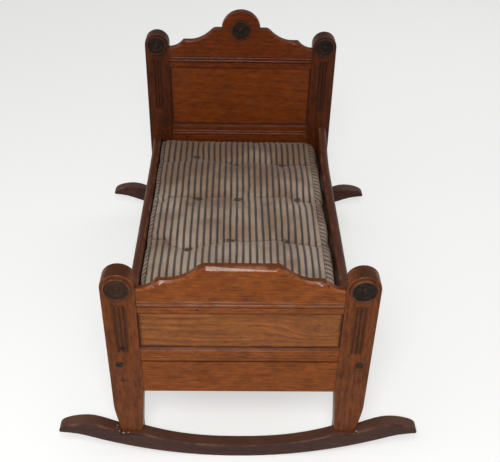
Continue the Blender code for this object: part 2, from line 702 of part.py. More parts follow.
def screw_profile(length, gap=0.0):
    """Shank and head of a screw whose head rests at height zero, with the shank below."""
    shank = SCREW_SHANK_RADIUS + gap
    return [(0, -length - gap), (shank * 0.25, -length - gap), (shank, -length + 2 * shank), (shank, 0)]


def screw_hole(name, place, axis, length):
    """A hole for a screw's shank that runs on out of the face where the head rests."""
    out = -Vector(axis)
    shank = SCREW_SHANK_RADIUS + HOLE_GAP
    profile = [(0, -length - HOLE_GAP), (shank, -length - HOLE_GAP), (shank, OVERRUN), (0, OVERRUN)]
    return turned(name, profile, place, out, SCREW_SIDES // 2)


def screw(name, place, axis, length):
    """A slotted round-head screw driven along the axis, its head at the place."""
    out = -Vector(axis)
    profile = screw_profile(length)
    for share_r, share_h in ((1.0, 0.0), (1.0, 0.3), (0.8, 0.75), (0.42, 1.0)):
        profile.append((share_r * SCREW_HEAD_RADIUS, share_h * SCREW_HEAD_HEIGHT))
    profile.append((0, SCREW_HEAD_HEIGHT))
    piece = turned(name, profile, place, out, SCREW_SIDES)
    top = Vector(place) + out * SCREW_HEAD_HEIGHT
    deep = top - out * SCREW_SLOT_DEPTH
    across_half = Vector((SCREW_HEAD_RADIUS + OVERRUN, 0, SCREW_SLOT_WIDTH / 2))
    ends = [deep - across_half, top + out * OVERRUN + across_half]
    low = [min(a, b) for a, b in zip(*ends)]
    high = [max(a, b) for a, b in zip(*ends)]
    cut(piece, box(f"{name}_slot", low, high))
    return finish(shade(piece), DARK_STEEL)


def bed_screw_place(end, y_face, side):
    """Where a bed screw's head rests, and the way it is driven."""
    x = side * (POST_X + BED_SCREW_OFFSET)
    if end == "foot":
        return (x, y_face - SEAT_GAP, FOOT_SCREW_HEIGHT), (0, 1, 0)
    return (x, y_face + POST_DEPTH + SEAT_GAP, HEAD_SCREW_HEIGHT), (0, -1, 0)


def side_rail(side, head_rise):
    """A side rail with a rounded top edge that sweeps up at both ends."""
    word = "left" if side < 0 else "right"
    top = LOWER_RAIL_BOTTOM + RAIL_HEIGHT
    outline = [
        (RAIL_START, LOWER_RAIL_BOTTOM, RAIL_EASE, (0, 1)),
        (RAIL_END, LOWER_RAIL_BOTTOM, RAIL_EASE, (0, 1)),
        (RAIL_END, top + head_rise, RAIL_ROUND, (0, -1)),
    ]
    for end, way, rise in ((RAIL_END, -1, head_rise), (RAIL_START, 1, RAIL_FOOT_RISE)):
        sweep = []
        for i in range(1, RAIL_STEPS + 1):
            share = i / RAIL_STEPS
            height = top + rise * (1 - share) ** rail_sweep_power_share
            sweep.append((end + way * RAIL_SWEEP * share, height, RAIL_ROUND))
        outline += sweep if way < 0 else sweep[::-1]
    outline.append((RAIL_START, top + RAIL_FOOT_RISE, RAIL_ROUND, (0, -1)))
    name = f"side_rail_{word}"
    piece = board(name, outline, along, side * RAIL_INNER_X, side * RAIL_OUTER_X, steps=3)
    for end, y_face in (("foot", FOOT_Y), ("head", HEAD_Y)):
        place, axis = bed_screw_place(end, y_face, side)
        cut(piece, screw_hole(f"{name}_{end}_screw_hole", place, axis, BED_SCREW_LENGTH))
    for number, y in enumerate(ledger_nail_places()):
        cut(piece, ledger_nail(f"{name}_nail_hole_{number}", side, y, HOLE_GAP))
    return finish(shade(piece), RED_WOOD)


def slat_places():
    return [RAIL_START + SLAT_PITCH * (i + 0.5) for i in range(SLAT_COUNT)]


def ledger_nail_places():
    """Ledger nails go between the slats, spread along the ledger."""
    step = SLAT_COUNT / LEDGER_NAIL_COUNT
    return [RAIL_START + SLAT_PITCH * round(step * (i + 0.5)) for i in range(LEDGER_NAIL_COUNT)]


def nail_profile(length, gap):
    """A flat-headed nail whose head's top is at height zero. With a gap it is the hole for one."""
    top = OVERRUN if gap else 0.0
    head = NAIL_HEAD_RADIUS + gap
    shank = NAIL_RADIUS + gap
    under = -NAIL_HEAD_HEIGHT - gap
    return [(0, -length - gap), (shank, -length - gap), (shank, under), (head, under), (head, top), (0, top)]


def ledger_nail(name, side, y, gap=0.0):
    length = LEDGER_WIDTH + SEAT_GAP + NAIL_BITE
    place = (side * (LEDGER_OUTER_X - LEDGER_WIDTH), y, LEDGER_BOTTOM + LEDGER_HEIGHT / 2)
    return turned(name, nail_profile(length, gap), place, (-side, 0, 0), NAIL_SIDES)


def slat_nail(name, side, y, gap=0.0):
    length = SLAT_THICKNESS + SEAT_GAP + NAIL_BITE
    return turned(name, nail_profile(length, gap), (side * LEDGER_X, y, SLAT_TOP), (0, 0, 1), NAIL_SIDES)


def ledger(side):
    word = "left" if side < 0 else "right"
    name = f"slat_ledger_{word}"
    start, end = RAIL_START + LEDGER_END_GAP, RAIL_END - LEDGER_END_GAP
    top = LEDGER_BOTTOM + LEDGER_HEIGHT
    outline = [(start, LEDGER_BOTTOM), (end, LEDGER_BOTTOM), (end, top), (start, top)]
    inner = side * (LEDGER_OUTER_X - LEDGER_WIDTH)
    piece = board(name, eased(outline, SLAT_EASE), along, inner, side * LEDGER_OUTER_X)
    for number, y in enumerate(ledger_nail_places()):
        cut(piece, ledger_nail(f"{name}_nail_hole_{number}", side, y, HOLE_GAP))
    for number, y in enumerate(slat_places()):
        cut(piece, slat_nail(f"{name}_slat_nail_hole_{number}", side, y, HOLE_GAP))
    return finish(piece, PLAIN_WOOD)


def slat(number, y):
    name = f"slat_{number + 1}"
    reach = RAIL_INNER_X - SLAT_END_GAP
    half = SLAT_WIDTH / 2
    outline = [(-reach, y - half), (reach, y - half), (reach, y + half), (-reach, y + half)]
    piece = board(name, eased(outline, SLAT_EASE), flat, SLAT_BOTTOM, SLAT_TOP)
    for side in (-1, 1):
        cut(piece, slat_nail(f"{name}_nail_hole_{side}", side, y, HOLE_GAP))
    return finish(piece, PLAIN_WOOD)


def mattress_height(x, y, half_x, half_y):
    """Height of the mattress's top: an edge, a crown, and dips where the tufts and their creases pull it down."""
    u, v = x / half_x, y / half_y
    height = MATTRESS_EDGE + MATTRESS_CROWN * (1 - abs(u) ** 3) * (1 - abs(v) ** 5)
    for share_x, share_y in tuft_place_shares:
        away = ((x - share_x * half_x) ** 2 + (y - share_y * half_y) ** 2) / TUFT_RADIUS**2
        height -= TUFT_DEPTH * math.exp(-2.5 * away)
    for share in tuft_row_shares:
        away = ((y - share * half_y) / CREASE_RADIUS) ** 2
        height -= CREASE_DEPTH * (1 - u * u) ** 0.5 * math.exp(-2.5 * away)
    return height


def rounded_corner(x, y, half_x, half_y, radius):
    """Pulls a point of a rectangle in so that the rectangle's corners become round."""
    dx = abs(x) - (half_x - radius)
    dy = abs(y) - (half_y - radius)
    if dx <= 0 or dy <= 0:
        return x, y
    scale = max(dx, dy) / math.hypot(dx, dy)
    return (
        math.copysign(half_x - radius + dx * scale, x),
        math.copysign(half_y - radius + dy * scale, y),
    )


def mattress():
    """A tufted mattress: crowned top, full sides that the tuft rows draw in, and a flat underside."""
    half_x = RAIL_INNER_X - MATTRESS_SIDE_GAP
    half_y = RAIL_LENGTH / 2 - MATTRESS_END_GAP
    centre = (RAIL_START + RAIL_END) / 2
    bm = bmesh.new()

    def point(u, v, inset, height):
        draw = sum(math.exp(-(((v - share) * half_y / CREASE_RADIUS) ** 2)) for share in tuft_row_shares)
        room = half_x - inset
        x, y = rounded_corner(u * room, v * (half_y - inset), room, half_y - inset, MATTRESS_CORNER)
        x *= 1 - draw * MATTRESS_DRAW / half_x * abs(u) ** 4
        if height is None:
            height = mattress_height(x, y, room, half_y - inset)
        return bm.verts.new((x, centre + y, MATTRESS_BOTTOM + height))

    across_n, along_n = MATTRESS_CELLS_ACROSS, MATTRESS_CELLS_ALONG
    grid = [
        [point(2 * i / across_n - 1, 2 * j / along_n - 1, MATTRESS_ROLL, None) for i in range(across_n + 1)]
        for j in range(along_n + 1)
    ]
    for j in range(along_n):
        for i in range(across_n):
            bm.faces.new((grid[j][i], grid[j][i + 1], grid[j + 1][i + 1], grid[j + 1][i]))
    border = [(i, 0) for i in range(across_n)] + [(across_n, j) for j in range(along_n)]
    border += [(i, along_n) for i in range(across_n, 0, -1)] + [(0, j) for j in range(along_n, 0, -1)]
    upper = [grid[j][i] for i, j in border]
    for inset_share, height_share in side_ring_shares:
        lower = [
            point(
                2 * i / across_n - 1,
                2 * j / along_n - 1,
                inset_share * MATTRESS_ROLL,
                height_share * MATTRESS_EDGE,
            )
            for i, j in border
        ]
        for k in range(len(border)):
            n = (k + 1) % len(border)
            bm.faces.new((upper[k], lower[k], lower[n], upper[n]))
        upper = lower
    bm.faces.new(upper[::-1])
    piece = add_object("mattress", bm)
    piece.data.shade_smooth()
    return finish(piece, TICKING)


def end_frame(end, y_face, crest_bottom, lobed):
    """One end of the bed: posts, crest rail, panel, lower rail, rocker, rosettes and the rocker's screws."""
    crest_rail(end, y_face, crest_bottom, lobed)
    panel(end, y_face, crest_bottom)
    lower_rail(end, y_face)
    rocker(end, y_face)
    for side, word in ((-1, "left"), (1, "right")):
        post(end, y_face, side, crest_bottom)
        dome = post_outline(side, crest_bottom)[1]
        rosette(f"{end}_rosette_{word}", (side * POST_X, y_face, dome))
        place, axis = bed_screw_place(end, y_face, side)
        screw(f"bed_screw_{end}_{word}", place, axis, BED_SCREW_LENGTH)
        place = (side * POST_X, y_face + POST_DEPTH + SEAT_GAP, rocker_screw_height())
        screw(f"rocker_screw_{end}_{word}", place, (0, -1, 0), ROCKER_SCREW_LENGTH)
    if lobed:
        rosette(f"{end}_rosette_crest", (0, y_face + BOARD_RECESS, crest_bottom + CREST_HEIGHT + LOBE_RISE))


def main():
    clear_scene()
    end_frame("foot", FOOT_Y, FOOT_CREST_BOTTOM, False)
    end_frame("head", HEAD_Y, HEAD_CREST_BOTTOM, True)
    side_rail(-1, RAIL_HEAD_RISE_LEFT)
    side_rail(1, RAIL_HEAD_RISE_RIGHT)
    for side, word in ((-1, "left"), (1, "right")):
        ledger(side)
        for number, y in enumerate(ledger_nail_places()):
            nail = ledger_nail(f"ledger_nail_{word}_{number + 1}", side, y)
            finish(shade(nail), DARK_STEEL)
        for number, y in enumerate(slat_places()):
            nail = slat_nail(f"slat_nail_{word}_{number + 1}", side, y)
            finish(shade(nail), DARK_STEEL)
    for number, y in enumerate(slat_places()):
        slat(number, y)
    mattress()


main()
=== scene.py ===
# A doll's rocking bed in worn, varnished wood, with a loose tufted mattress in striped ticking.
# Metres, +Z up. X runs across the bed, Y from foot to head, and both ends face -Y.
import math
import random
from functools import partial

import bmesh
import bpy
import numpy as np
from mathutils import Matrix, Vector, noise
from mathutils.bvhtree import BVHTree
from mathutils.kdtree import KDTree


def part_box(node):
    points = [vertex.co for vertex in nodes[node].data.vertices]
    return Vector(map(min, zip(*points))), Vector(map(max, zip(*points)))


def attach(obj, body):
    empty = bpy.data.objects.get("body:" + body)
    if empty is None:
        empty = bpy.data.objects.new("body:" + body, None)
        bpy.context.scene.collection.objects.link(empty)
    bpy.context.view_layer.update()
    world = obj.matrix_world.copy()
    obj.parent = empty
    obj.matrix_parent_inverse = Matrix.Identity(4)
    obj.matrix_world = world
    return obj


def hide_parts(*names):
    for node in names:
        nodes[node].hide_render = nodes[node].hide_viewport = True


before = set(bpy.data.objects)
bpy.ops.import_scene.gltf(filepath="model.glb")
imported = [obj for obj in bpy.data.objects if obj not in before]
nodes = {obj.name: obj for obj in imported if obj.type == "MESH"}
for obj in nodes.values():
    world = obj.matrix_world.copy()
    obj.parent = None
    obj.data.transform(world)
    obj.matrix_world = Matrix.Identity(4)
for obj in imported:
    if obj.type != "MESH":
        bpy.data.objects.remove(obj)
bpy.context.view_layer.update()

scene = bpy.context.scene
scene.view_settings.view_transform = "Standard"
print("frame loaded:", len(nodes), "nodes")


# Camera, floor and lamps.

cameraSetup = {
    "place": (-0.0072, -0.8452, 0.7732),
    "pitch": 36.65,  # degrees down
    "yaw": 1.45,
    "roll": 1.38,
    "lens": 55.30,
}

lampSetup = {
    "lamps": {  # place, size and power
        "keyLamp": ((-0.05, -0.95, 1.06), 0.40, 8.8),
        "fillLamp": ((-0.9, -0.5, 1.1), 1.2, 3.0),
        "backLamp": ((0.95, 0.85, 1.2), 1.2, 3.4),
    },
    "aim": (0.0, -0.05, 0.16),
    "roomLevel": 0.33,
    "backdropLevel": 0.74,
    "floorTone": (0.60, 0.60, 0.59),
    "floorGlow": 0.49,  # what the camera and mirrors see of the floor beside its own light
}


def addObject(name, data):
    item = bpy.data.objects.new(name, data)
    scene.collection.objects.link(item)
    return item


def addCamera(setup):
    pitch, yaw, roll = (math.radians(setup[key]) for key in ("pitch", "yaw", "roll"))
    ahead = Vector((math.sin(yaw) * math.cos(pitch), math.cos(yaw) * math.cos(pitch), -math.sin(pitch)))
    right = Vector((math.cos(yaw), -math.sin(yaw), 0))
    up = right.cross(ahead)
    turnedRight = math.cos(roll) * right + math.sin(roll) * up
    turnedUp = -math.sin(roll) * right + math.cos(roll) * up
    data = bpy.data.cameras.new("camera")
    data.sensor_width = 36
    data.lens = setup["lens"]
    camera = addObject("camera", data)
    turned = Matrix((turnedRight, turnedUp, -ahead)).transposed()
    camera.matrix_world = Matrix.Translation(setup["place"]) @ turned.to_4x4()
    scene.camera = camera


def addLamp(name, place, size, power):
    data = bpy.data.lights.new(name, "AREA")
    data.shape = "DISK"
    data.size = size
    data.energy = power
    lamp = addObject(name, data)
    lamp.location = place
    lamp.rotation_euler = (Vector(lampSetup["aim"]) - Vector(place)).to_track_quat("-Z", "Y").to_euler()


addCamera(cameraSetup)
for name, lamp in lampSetup["lamps"].items():
    addLamp(name, *lamp)


# Small helpers for node trees. A node goes into the tree that its input sockets belong to.

# Sets an input, or links it to the socket that feeds it
def feed(socket, value):
    if isinstance(value, bpy.types.NodeSocket):
        socket.id_data.links.new(value, socket)
    else:
        socket.default_value = (*value[:3], 1) if socket.type == "RGBA" else value


def fill(node, inputs):
    for key, value in inputs.items():
        feed(node.inputs[key], value)


def setAll(item, settings):
    for key, value in settings.items():
        setattr(item, key, value)


def put(tree, kind, inputs=None, **settings):
    node = tree.nodes.new(kind)
    setAll(node, settings)
    fill(node, inputs or {})
    return node


def treeOf(values):
    return next(value.id_data for value in values if isinstance(value, bpy.types.NodeSocket))


def calc(operation, *values, clamp=False):
    inputs = dict(enumerate(values))
    return put(treeOf(values), "ShaderNodeMath", inputs, operation=operation, use_clamp=clamp).outputs[0]


plus, minus, times, over = (partial(calc, name) for name in ("ADD", "SUBTRACT", "MULTIPLY", "DIVIDE"))
timesPlus, largest, smallest = (partial(calc, name) for name in ("MULTIPLY_ADD", "MAXIMUM", "MINIMUM"))
sizeOf, rootOf, restOf = (partial(calc, name) for name in ("ABSOLUTE", "SQRT", "FRACT"))


def blendColour(share, first, second, how="MIX", beyond=False):
    tree = treeOf((share, first, second))
    node = put(tree, "ShaderNodeMix", data_type="RGBA", blend_type=how, clamp_factor=not beyond)
    feed(node.inputs["Factor"], share)
    for socket, value in zip((socket for socket in node.inputs if socket.type == "RGBA"), (first, second)):
        feed(socket, value)
    return next(socket for socket in node.outputs if socket.type == "RGBA")


# 0 below low, 1 above high, eased between
def smoothBand(value, low, high):
    inputs = {"Value": value, "From Min": low, "From Max": high}
    return put(value.id_data, "ShaderNodeMapRange", inputs, interpolation_type="SMOOTHSTEP").outputs["Result"]


def fadeBand(value, low, high):
    return minus(1.0, smoothBand(value, low, high))


# Maps 0..1 to low..high
def spread(value, low, high):
    inputs = {"Value": value, "To Min": low, "To Max": high}
    return put(value.id_data, "ShaderNodeMapRange", inputs, clamp=True).outputs["Result"]


# Noise of one scale, or of a scale for each axis
def noiseAt(vector, scale, detail=2.0, roughness=0.5, distortion=0.0):
    if isinstance(scale, tuple):
        vector = put(vector.id_data, "ShaderNodeVectorMath", {0: vector, 1: scale}, operation="MULTIPLY").outputs[0]
        scale = 1.0
    inputs = {"Vector": vector, "Scale": scale, "Detail": detail, "Roughness": roughness, "Distortion": distortion}
    return put(vector.id_data, "ShaderNodeTexNoise", inputs).outputs[0]


# Shifts what lies round a half to lie round zero
def centred(value):
    return minus(value, 0.5)


def split(vector):
    return put(vector.id_data, "ShaderNodeSeparateXYZ", {"Vector": vector}).outputs


def coords(tree):
    return put(tree, "ShaderNodeTexCoord").outputs


def bumped(height, distance, strength, under=None):
    node = put(height.id_data, "ShaderNodeBump", {"Height": height, "Distance": distance, "Strength": strength})
    if under:
        feed(node.inputs["Normal"], under)
    return node.outputs[0]


socketKinds = {"Vector": "Vector", "Run": "Vector", "Early Wood": "Color", "Late Wood": "Color", "Color": "Color"}


# An empty group, with the outputs of its start and the inputs of its end
def newGroup(name, inputs, outputs):
    group = bpy.data.node_groups.new(name, "ShaderNodeTree")
    for way, labels in (("INPUT", inputs), ("OUTPUT", outputs)):
        for label in labels:
            kind = "NodeSocket" + socketKinds.get(label, "Float")
            group.interface.new_socket(label, in_out=way, socket_type=kind)
    return group, group.nodes.new("NodeGroupInput").outputs, group.nodes.new("NodeGroupOutput").inputs


def placeGroup(tree, group, inputs):
    return put(tree, "ShaderNodeGroup", inputs, node_tree=group).outputs


# A colour given as it looks on a screen, 0 to 255
def tone(red, green, blue):
    return tuple(((v / 255 + 0.055) / 1.055) ** 2.4 if v > 10 else v / 255 / 12.92 for v in (red, green, blue))


# A new material, its texture coordinates and its shader
def newMaterial(name):
    material = bpy.data.materials.new(name)
    material.use_nodes = True
    return material, coords(material.node_tree), material.node_tree.nodes["Principled BSDF"]


# Effects that several finishes share.

# What the figure's group is given, and the names of the same values in a wood's finish
figureInputs = {
    "Ring Pitch": "pitch", "Pith Aside": "aside", "Pith Deep": "deep", "Tilt": "tilt", "Wobble": "wobble",
    "Early Wood": "early", "Late Wood": "late", "Ring Strength": "rings", "Streak Strength": "streaks",
    "Pore Strength": "pores", "Fleck Strength": "flecks",
}


# Growth rings, streaks and pores. The grain runs along the vector's X.
def buildWoodFigure():
    group, given, out = newGroup("woodFigure", ("Vector", *figureInputs), ("Color", "Height"))
    place = given["Vector"]
    parts = split(place)
    aside = plus(parts["Y"], given["Pith Aside"])
    deep = plus(parts["Z"], given["Pith Deep"])
    radius = rootOf(plus(times(aside, aside), times(deep, deep)))
    radius = timesPlus(parts["X"], given["Tilt"], radius)
    drift = times(centred(noiseAt(place, (5.0, 26.0, 26.0))), given["Wobble"])
    radius = timesPlus(drift, 5.0, radius)
    ripple = centred(noiseAt(place, (28.0, 130.0, 130.0)))
    radius = timesPlus(ripple, times(given["Wobble"], 0.7), radius)
    phase = restOf(over(radius, given["Ring Pitch"]))
    ring = times(smoothBand(phase, 0.18, 0.80), fadeBand(phase, 0.86, 1.0))
    broad = centred(noiseAt(place, (30.0, 330.0, 330.0), 3.0, 0.6))
    fine = centred(noiseAt(place, (90.0, 1300.0, 1300.0), 2.0, 0.6))
    streak = plus(broad, times(fine, 0.7))
    pore = smoothBand(noiseAt(place, (170.0, 1900.0, 1900.0), 1.0), 0.60, 0.72)
    fleck = centred(noiseAt(place, (75.0, 210.0, 210.0), 3.0, 0.7))
    share = timesPlus(streak, given["Streak Strength"], times(ring, given["Ring Strength"]))
    share = timesPlus(fleck, given["Fleck Strength"], share)
    share = timesPlus(times(pore, given["Pore Strength"]), 0.8, share)
    share = smallest(largest(share, -0.35), 1.0)
    feed(out["Color"], blendColour(share, given["Early Wood"], given["Late Wood"], beyond=True))
    feed(out["Height"], timesPlus(ring, 0.25, timesPlus(pore, -0.6, times(streak, 0.5))))
    return group


# Where a board's arris is rubbed; the lighter tone laid there is partly worn varnish and partly a painted highlight on
# the chamfers. Run is the way the board's outline was cut through.
def buildArrisWearAndHighlight():
    group, given, out = newGroup("arrisWearAndHighlight", ("Run",), ("Mask", "Arris"))
    where = coords(group)
    facing = put(group, "ShaderNodeVectorMath", {0: where["Normal"], 1: given["Run"]}, operation="DOT_PRODUCT")
    along = sizeOf(facing.outputs["Value"])
    across = rootOf(minus(1.0, times(along, along), clamp=True))
    arris = smoothBand(smallest(along, across), 0.12, 0.55)
    patch = smoothBand(noiseAt(where["Object"], 48.0, 3.0, 0.6), 0.42, 0.66)
    feed(out["Mask"], times(arris, patch))
    feed(out["Arris"], arris)
    return group


# Faces that look up take a settled colour, with a mottled edge: partly dust and grime, partly painted shade
def buildSettledDustAndShade():
    group, given, out = newGroup("settledDustAndShade", ("Up Strength", "Mottle Strength"), ("Mask", "Mottle"))
    where = coords(group)
    mottle = noiseAt(where["Object"], 24.0, 4.0, 0.6)
    up = timesPlus(centred(mottle), 0.5, split(where["Normal"])["Z"])
    patchy = times(smoothBand(mottle, 0.46, 0.70), given["Mottle Strength"])
    feed(out["Mask"], timesPlus(smoothBand(up, 0.55, 0.98), given["Up Strength"], patchy, clamp=True))
    feed(out["Mottle"], mottle)
    return group


# Fine scratches and small dents
def buildScuffs():
    group, given, out = newGroup("scuffs", (), ("Mask",))
    where = coords(group)["Object"]
    dents = put(group, "ShaderNodeTexVoronoi", {"Vector": where, "Scale": 95.0, "Randomness": 1.0})
    rare = smoothBand(noiseAt(where, 60.0, 1.0), 0.60, 0.68)
    marks = times(fadeBand(dents.outputs["Distance"], 0.04, 0.16), rare)
    for turn, stretch, patch in (
        ((0.3, 0.9, 0.5), (70.0, 1500.0, 300.0), 31.0),
        ((1.1, -0.4, 0.8), (1300.0, 260.0, 64.0), 23.0),
        ((-0.5, 0.2, 2.1), (60.0, 1100.0, 1100.0), 27.0),
    ):
        laid = put(group, "ShaderNodeMapping", {"Vector": where, "Rotation": turn, "Scale": stretch})
        line = smoothBand(noiseAt(laid.outputs[0], 1.0, 0.0), 0.66, 0.74)
        marks = largest(marks, times(line, smoothBand(noiseAt(where, patch, 1.0), 0.60, 0.68)))
    feed(out["Mask"], times(marks, 0.5))
    return group


hollowSizes = ("Face", "Middle X", "Middle Z", "Half X", "Half Z", "From", "To")


# Dirt and painted shade in flutes and between reeds, by depth behind the worked face
def buildHollowDirtAndShade():
    group, given, out = newGroup("hollowDirtAndShade", hollowSizes, ("Mask",))
    parts = split(coords(group)["Object"])
    fromX = sizeOf(minus(sizeOf(parts["X"]), given["Middle X"]))
    fromZ = sizeOf(minus(parts["Z"], given["Middle Z"]))
    insideX = smoothBand(minus(given["Half X"], fromX), -0.0004, 0.0004)
    insideZ = smoothBand(minus(given["Half Z"], fromZ), -0.0006, 0.0006)
    depth = minus(parts["Y"], given["Face"])
    deep = times(smoothBand(depth, given["From"], given["To"]), fadeBand(depth, 0.0040, 0.0045))
    feed(out["Mask"], times(times(insideX, insideZ), deep))
    return group


frameSizes = ("Middle Z", "Half X", "Half Z", "Width")


# Painted shade along the edge of a panel, beside the boards that frame it
def buildFrameShade():
    group, given, out = newGroup("frameShade", frameSizes, ("Mask",))
    where = coords(group)["Object"]
    parts = split(where)
    roomX = minus(given["Half X"], sizeOf(parts["X"]))
    roomZ = minus(given["Half Z"], sizeOf(minus(parts["Z"], given["Middle Z"])))
    room = timesPlus(centred(noiseAt(where, 90.0, 3.0)), -0.0022, smallest(roomX, roomZ))
    feed(out["Mask"], fadeBand(room, 0.0, given["Width"]))
    return group


# One dark dent or filled hole in a face across Y
def buildNick():
    group, given, out = newGroup("nick", ("X", "Z", "Radius"), ("Mask",))
    where = coords(group)["Object"]
    parts = split(where)
    fromX = minus(parts["X"], given["X"])
    fromZ = times(minus(parts["Z"], given["Z"]), 1.3)
    away = rootOf(timesPlus(fromX, fromX, times(fromZ, fromZ)))
    away = timesPlus(centred(noiseAt(where, 900.0)), 0.0012, away)
    feed(out["Mask"], fadeBand(over(away, given["Radius"]), 0.55, 1.1))
    return group


woodFigure, arrisWearAndHighlight, settledDustAndShade, scuffs = (
    build() for build in (buildWoodFigure, buildArrisWearAndHighlight, buildSettledDustAndShade, buildScuffs)
)
hollowDirtAndShade, frameShade, nick = (build() for build in (buildHollowDirtAndShade, buildFrameShade, buildNick))


# Wood finishes.

wearSetup = {
    # Arris tone: partly worn varnish, partly a painted highlight on the chamfers.
    "rubbed": tone(150, 103, 80),
    # Colour of grime in scuffs, and of the painted shade in hollows, along frames and on faces that look up.
    "grimeAndShade": tone(34, 19, 12),
    "nick": tone(22, 12, 9),
    "settledAndShadedShare": 0.72,
    "settledDull": 0.16,
    "mottleDull": 0.18,
    "scuffShare": 0.35,
    "scuffDull": 0.12,
    "scuffHeight": -1.5,
    "nickHeight": -2.5,
    "frameWidth": 0.0042,
    "frameShadeShare": 0.78,
    "dirtAndShadeDull": 1.4,
    "coatRoughness": 0.20,
    "bump": (0.00030, 0.55),  # distance and strength
    "wave": (0.0009, 0.5),
    "waveScale": 22.0,
}

# What a finish has where it says nothing else. run: the way the outline was cut through.
plainWood = {
    "grain": "xzy", "run": (0, 1, 0), "settledAndShaded": wearSetup["grimeAndShade"], "wear": 0.0, "coat": 0.0, "polish": 0.0,
    "hollows": (), "nicks": (),
}
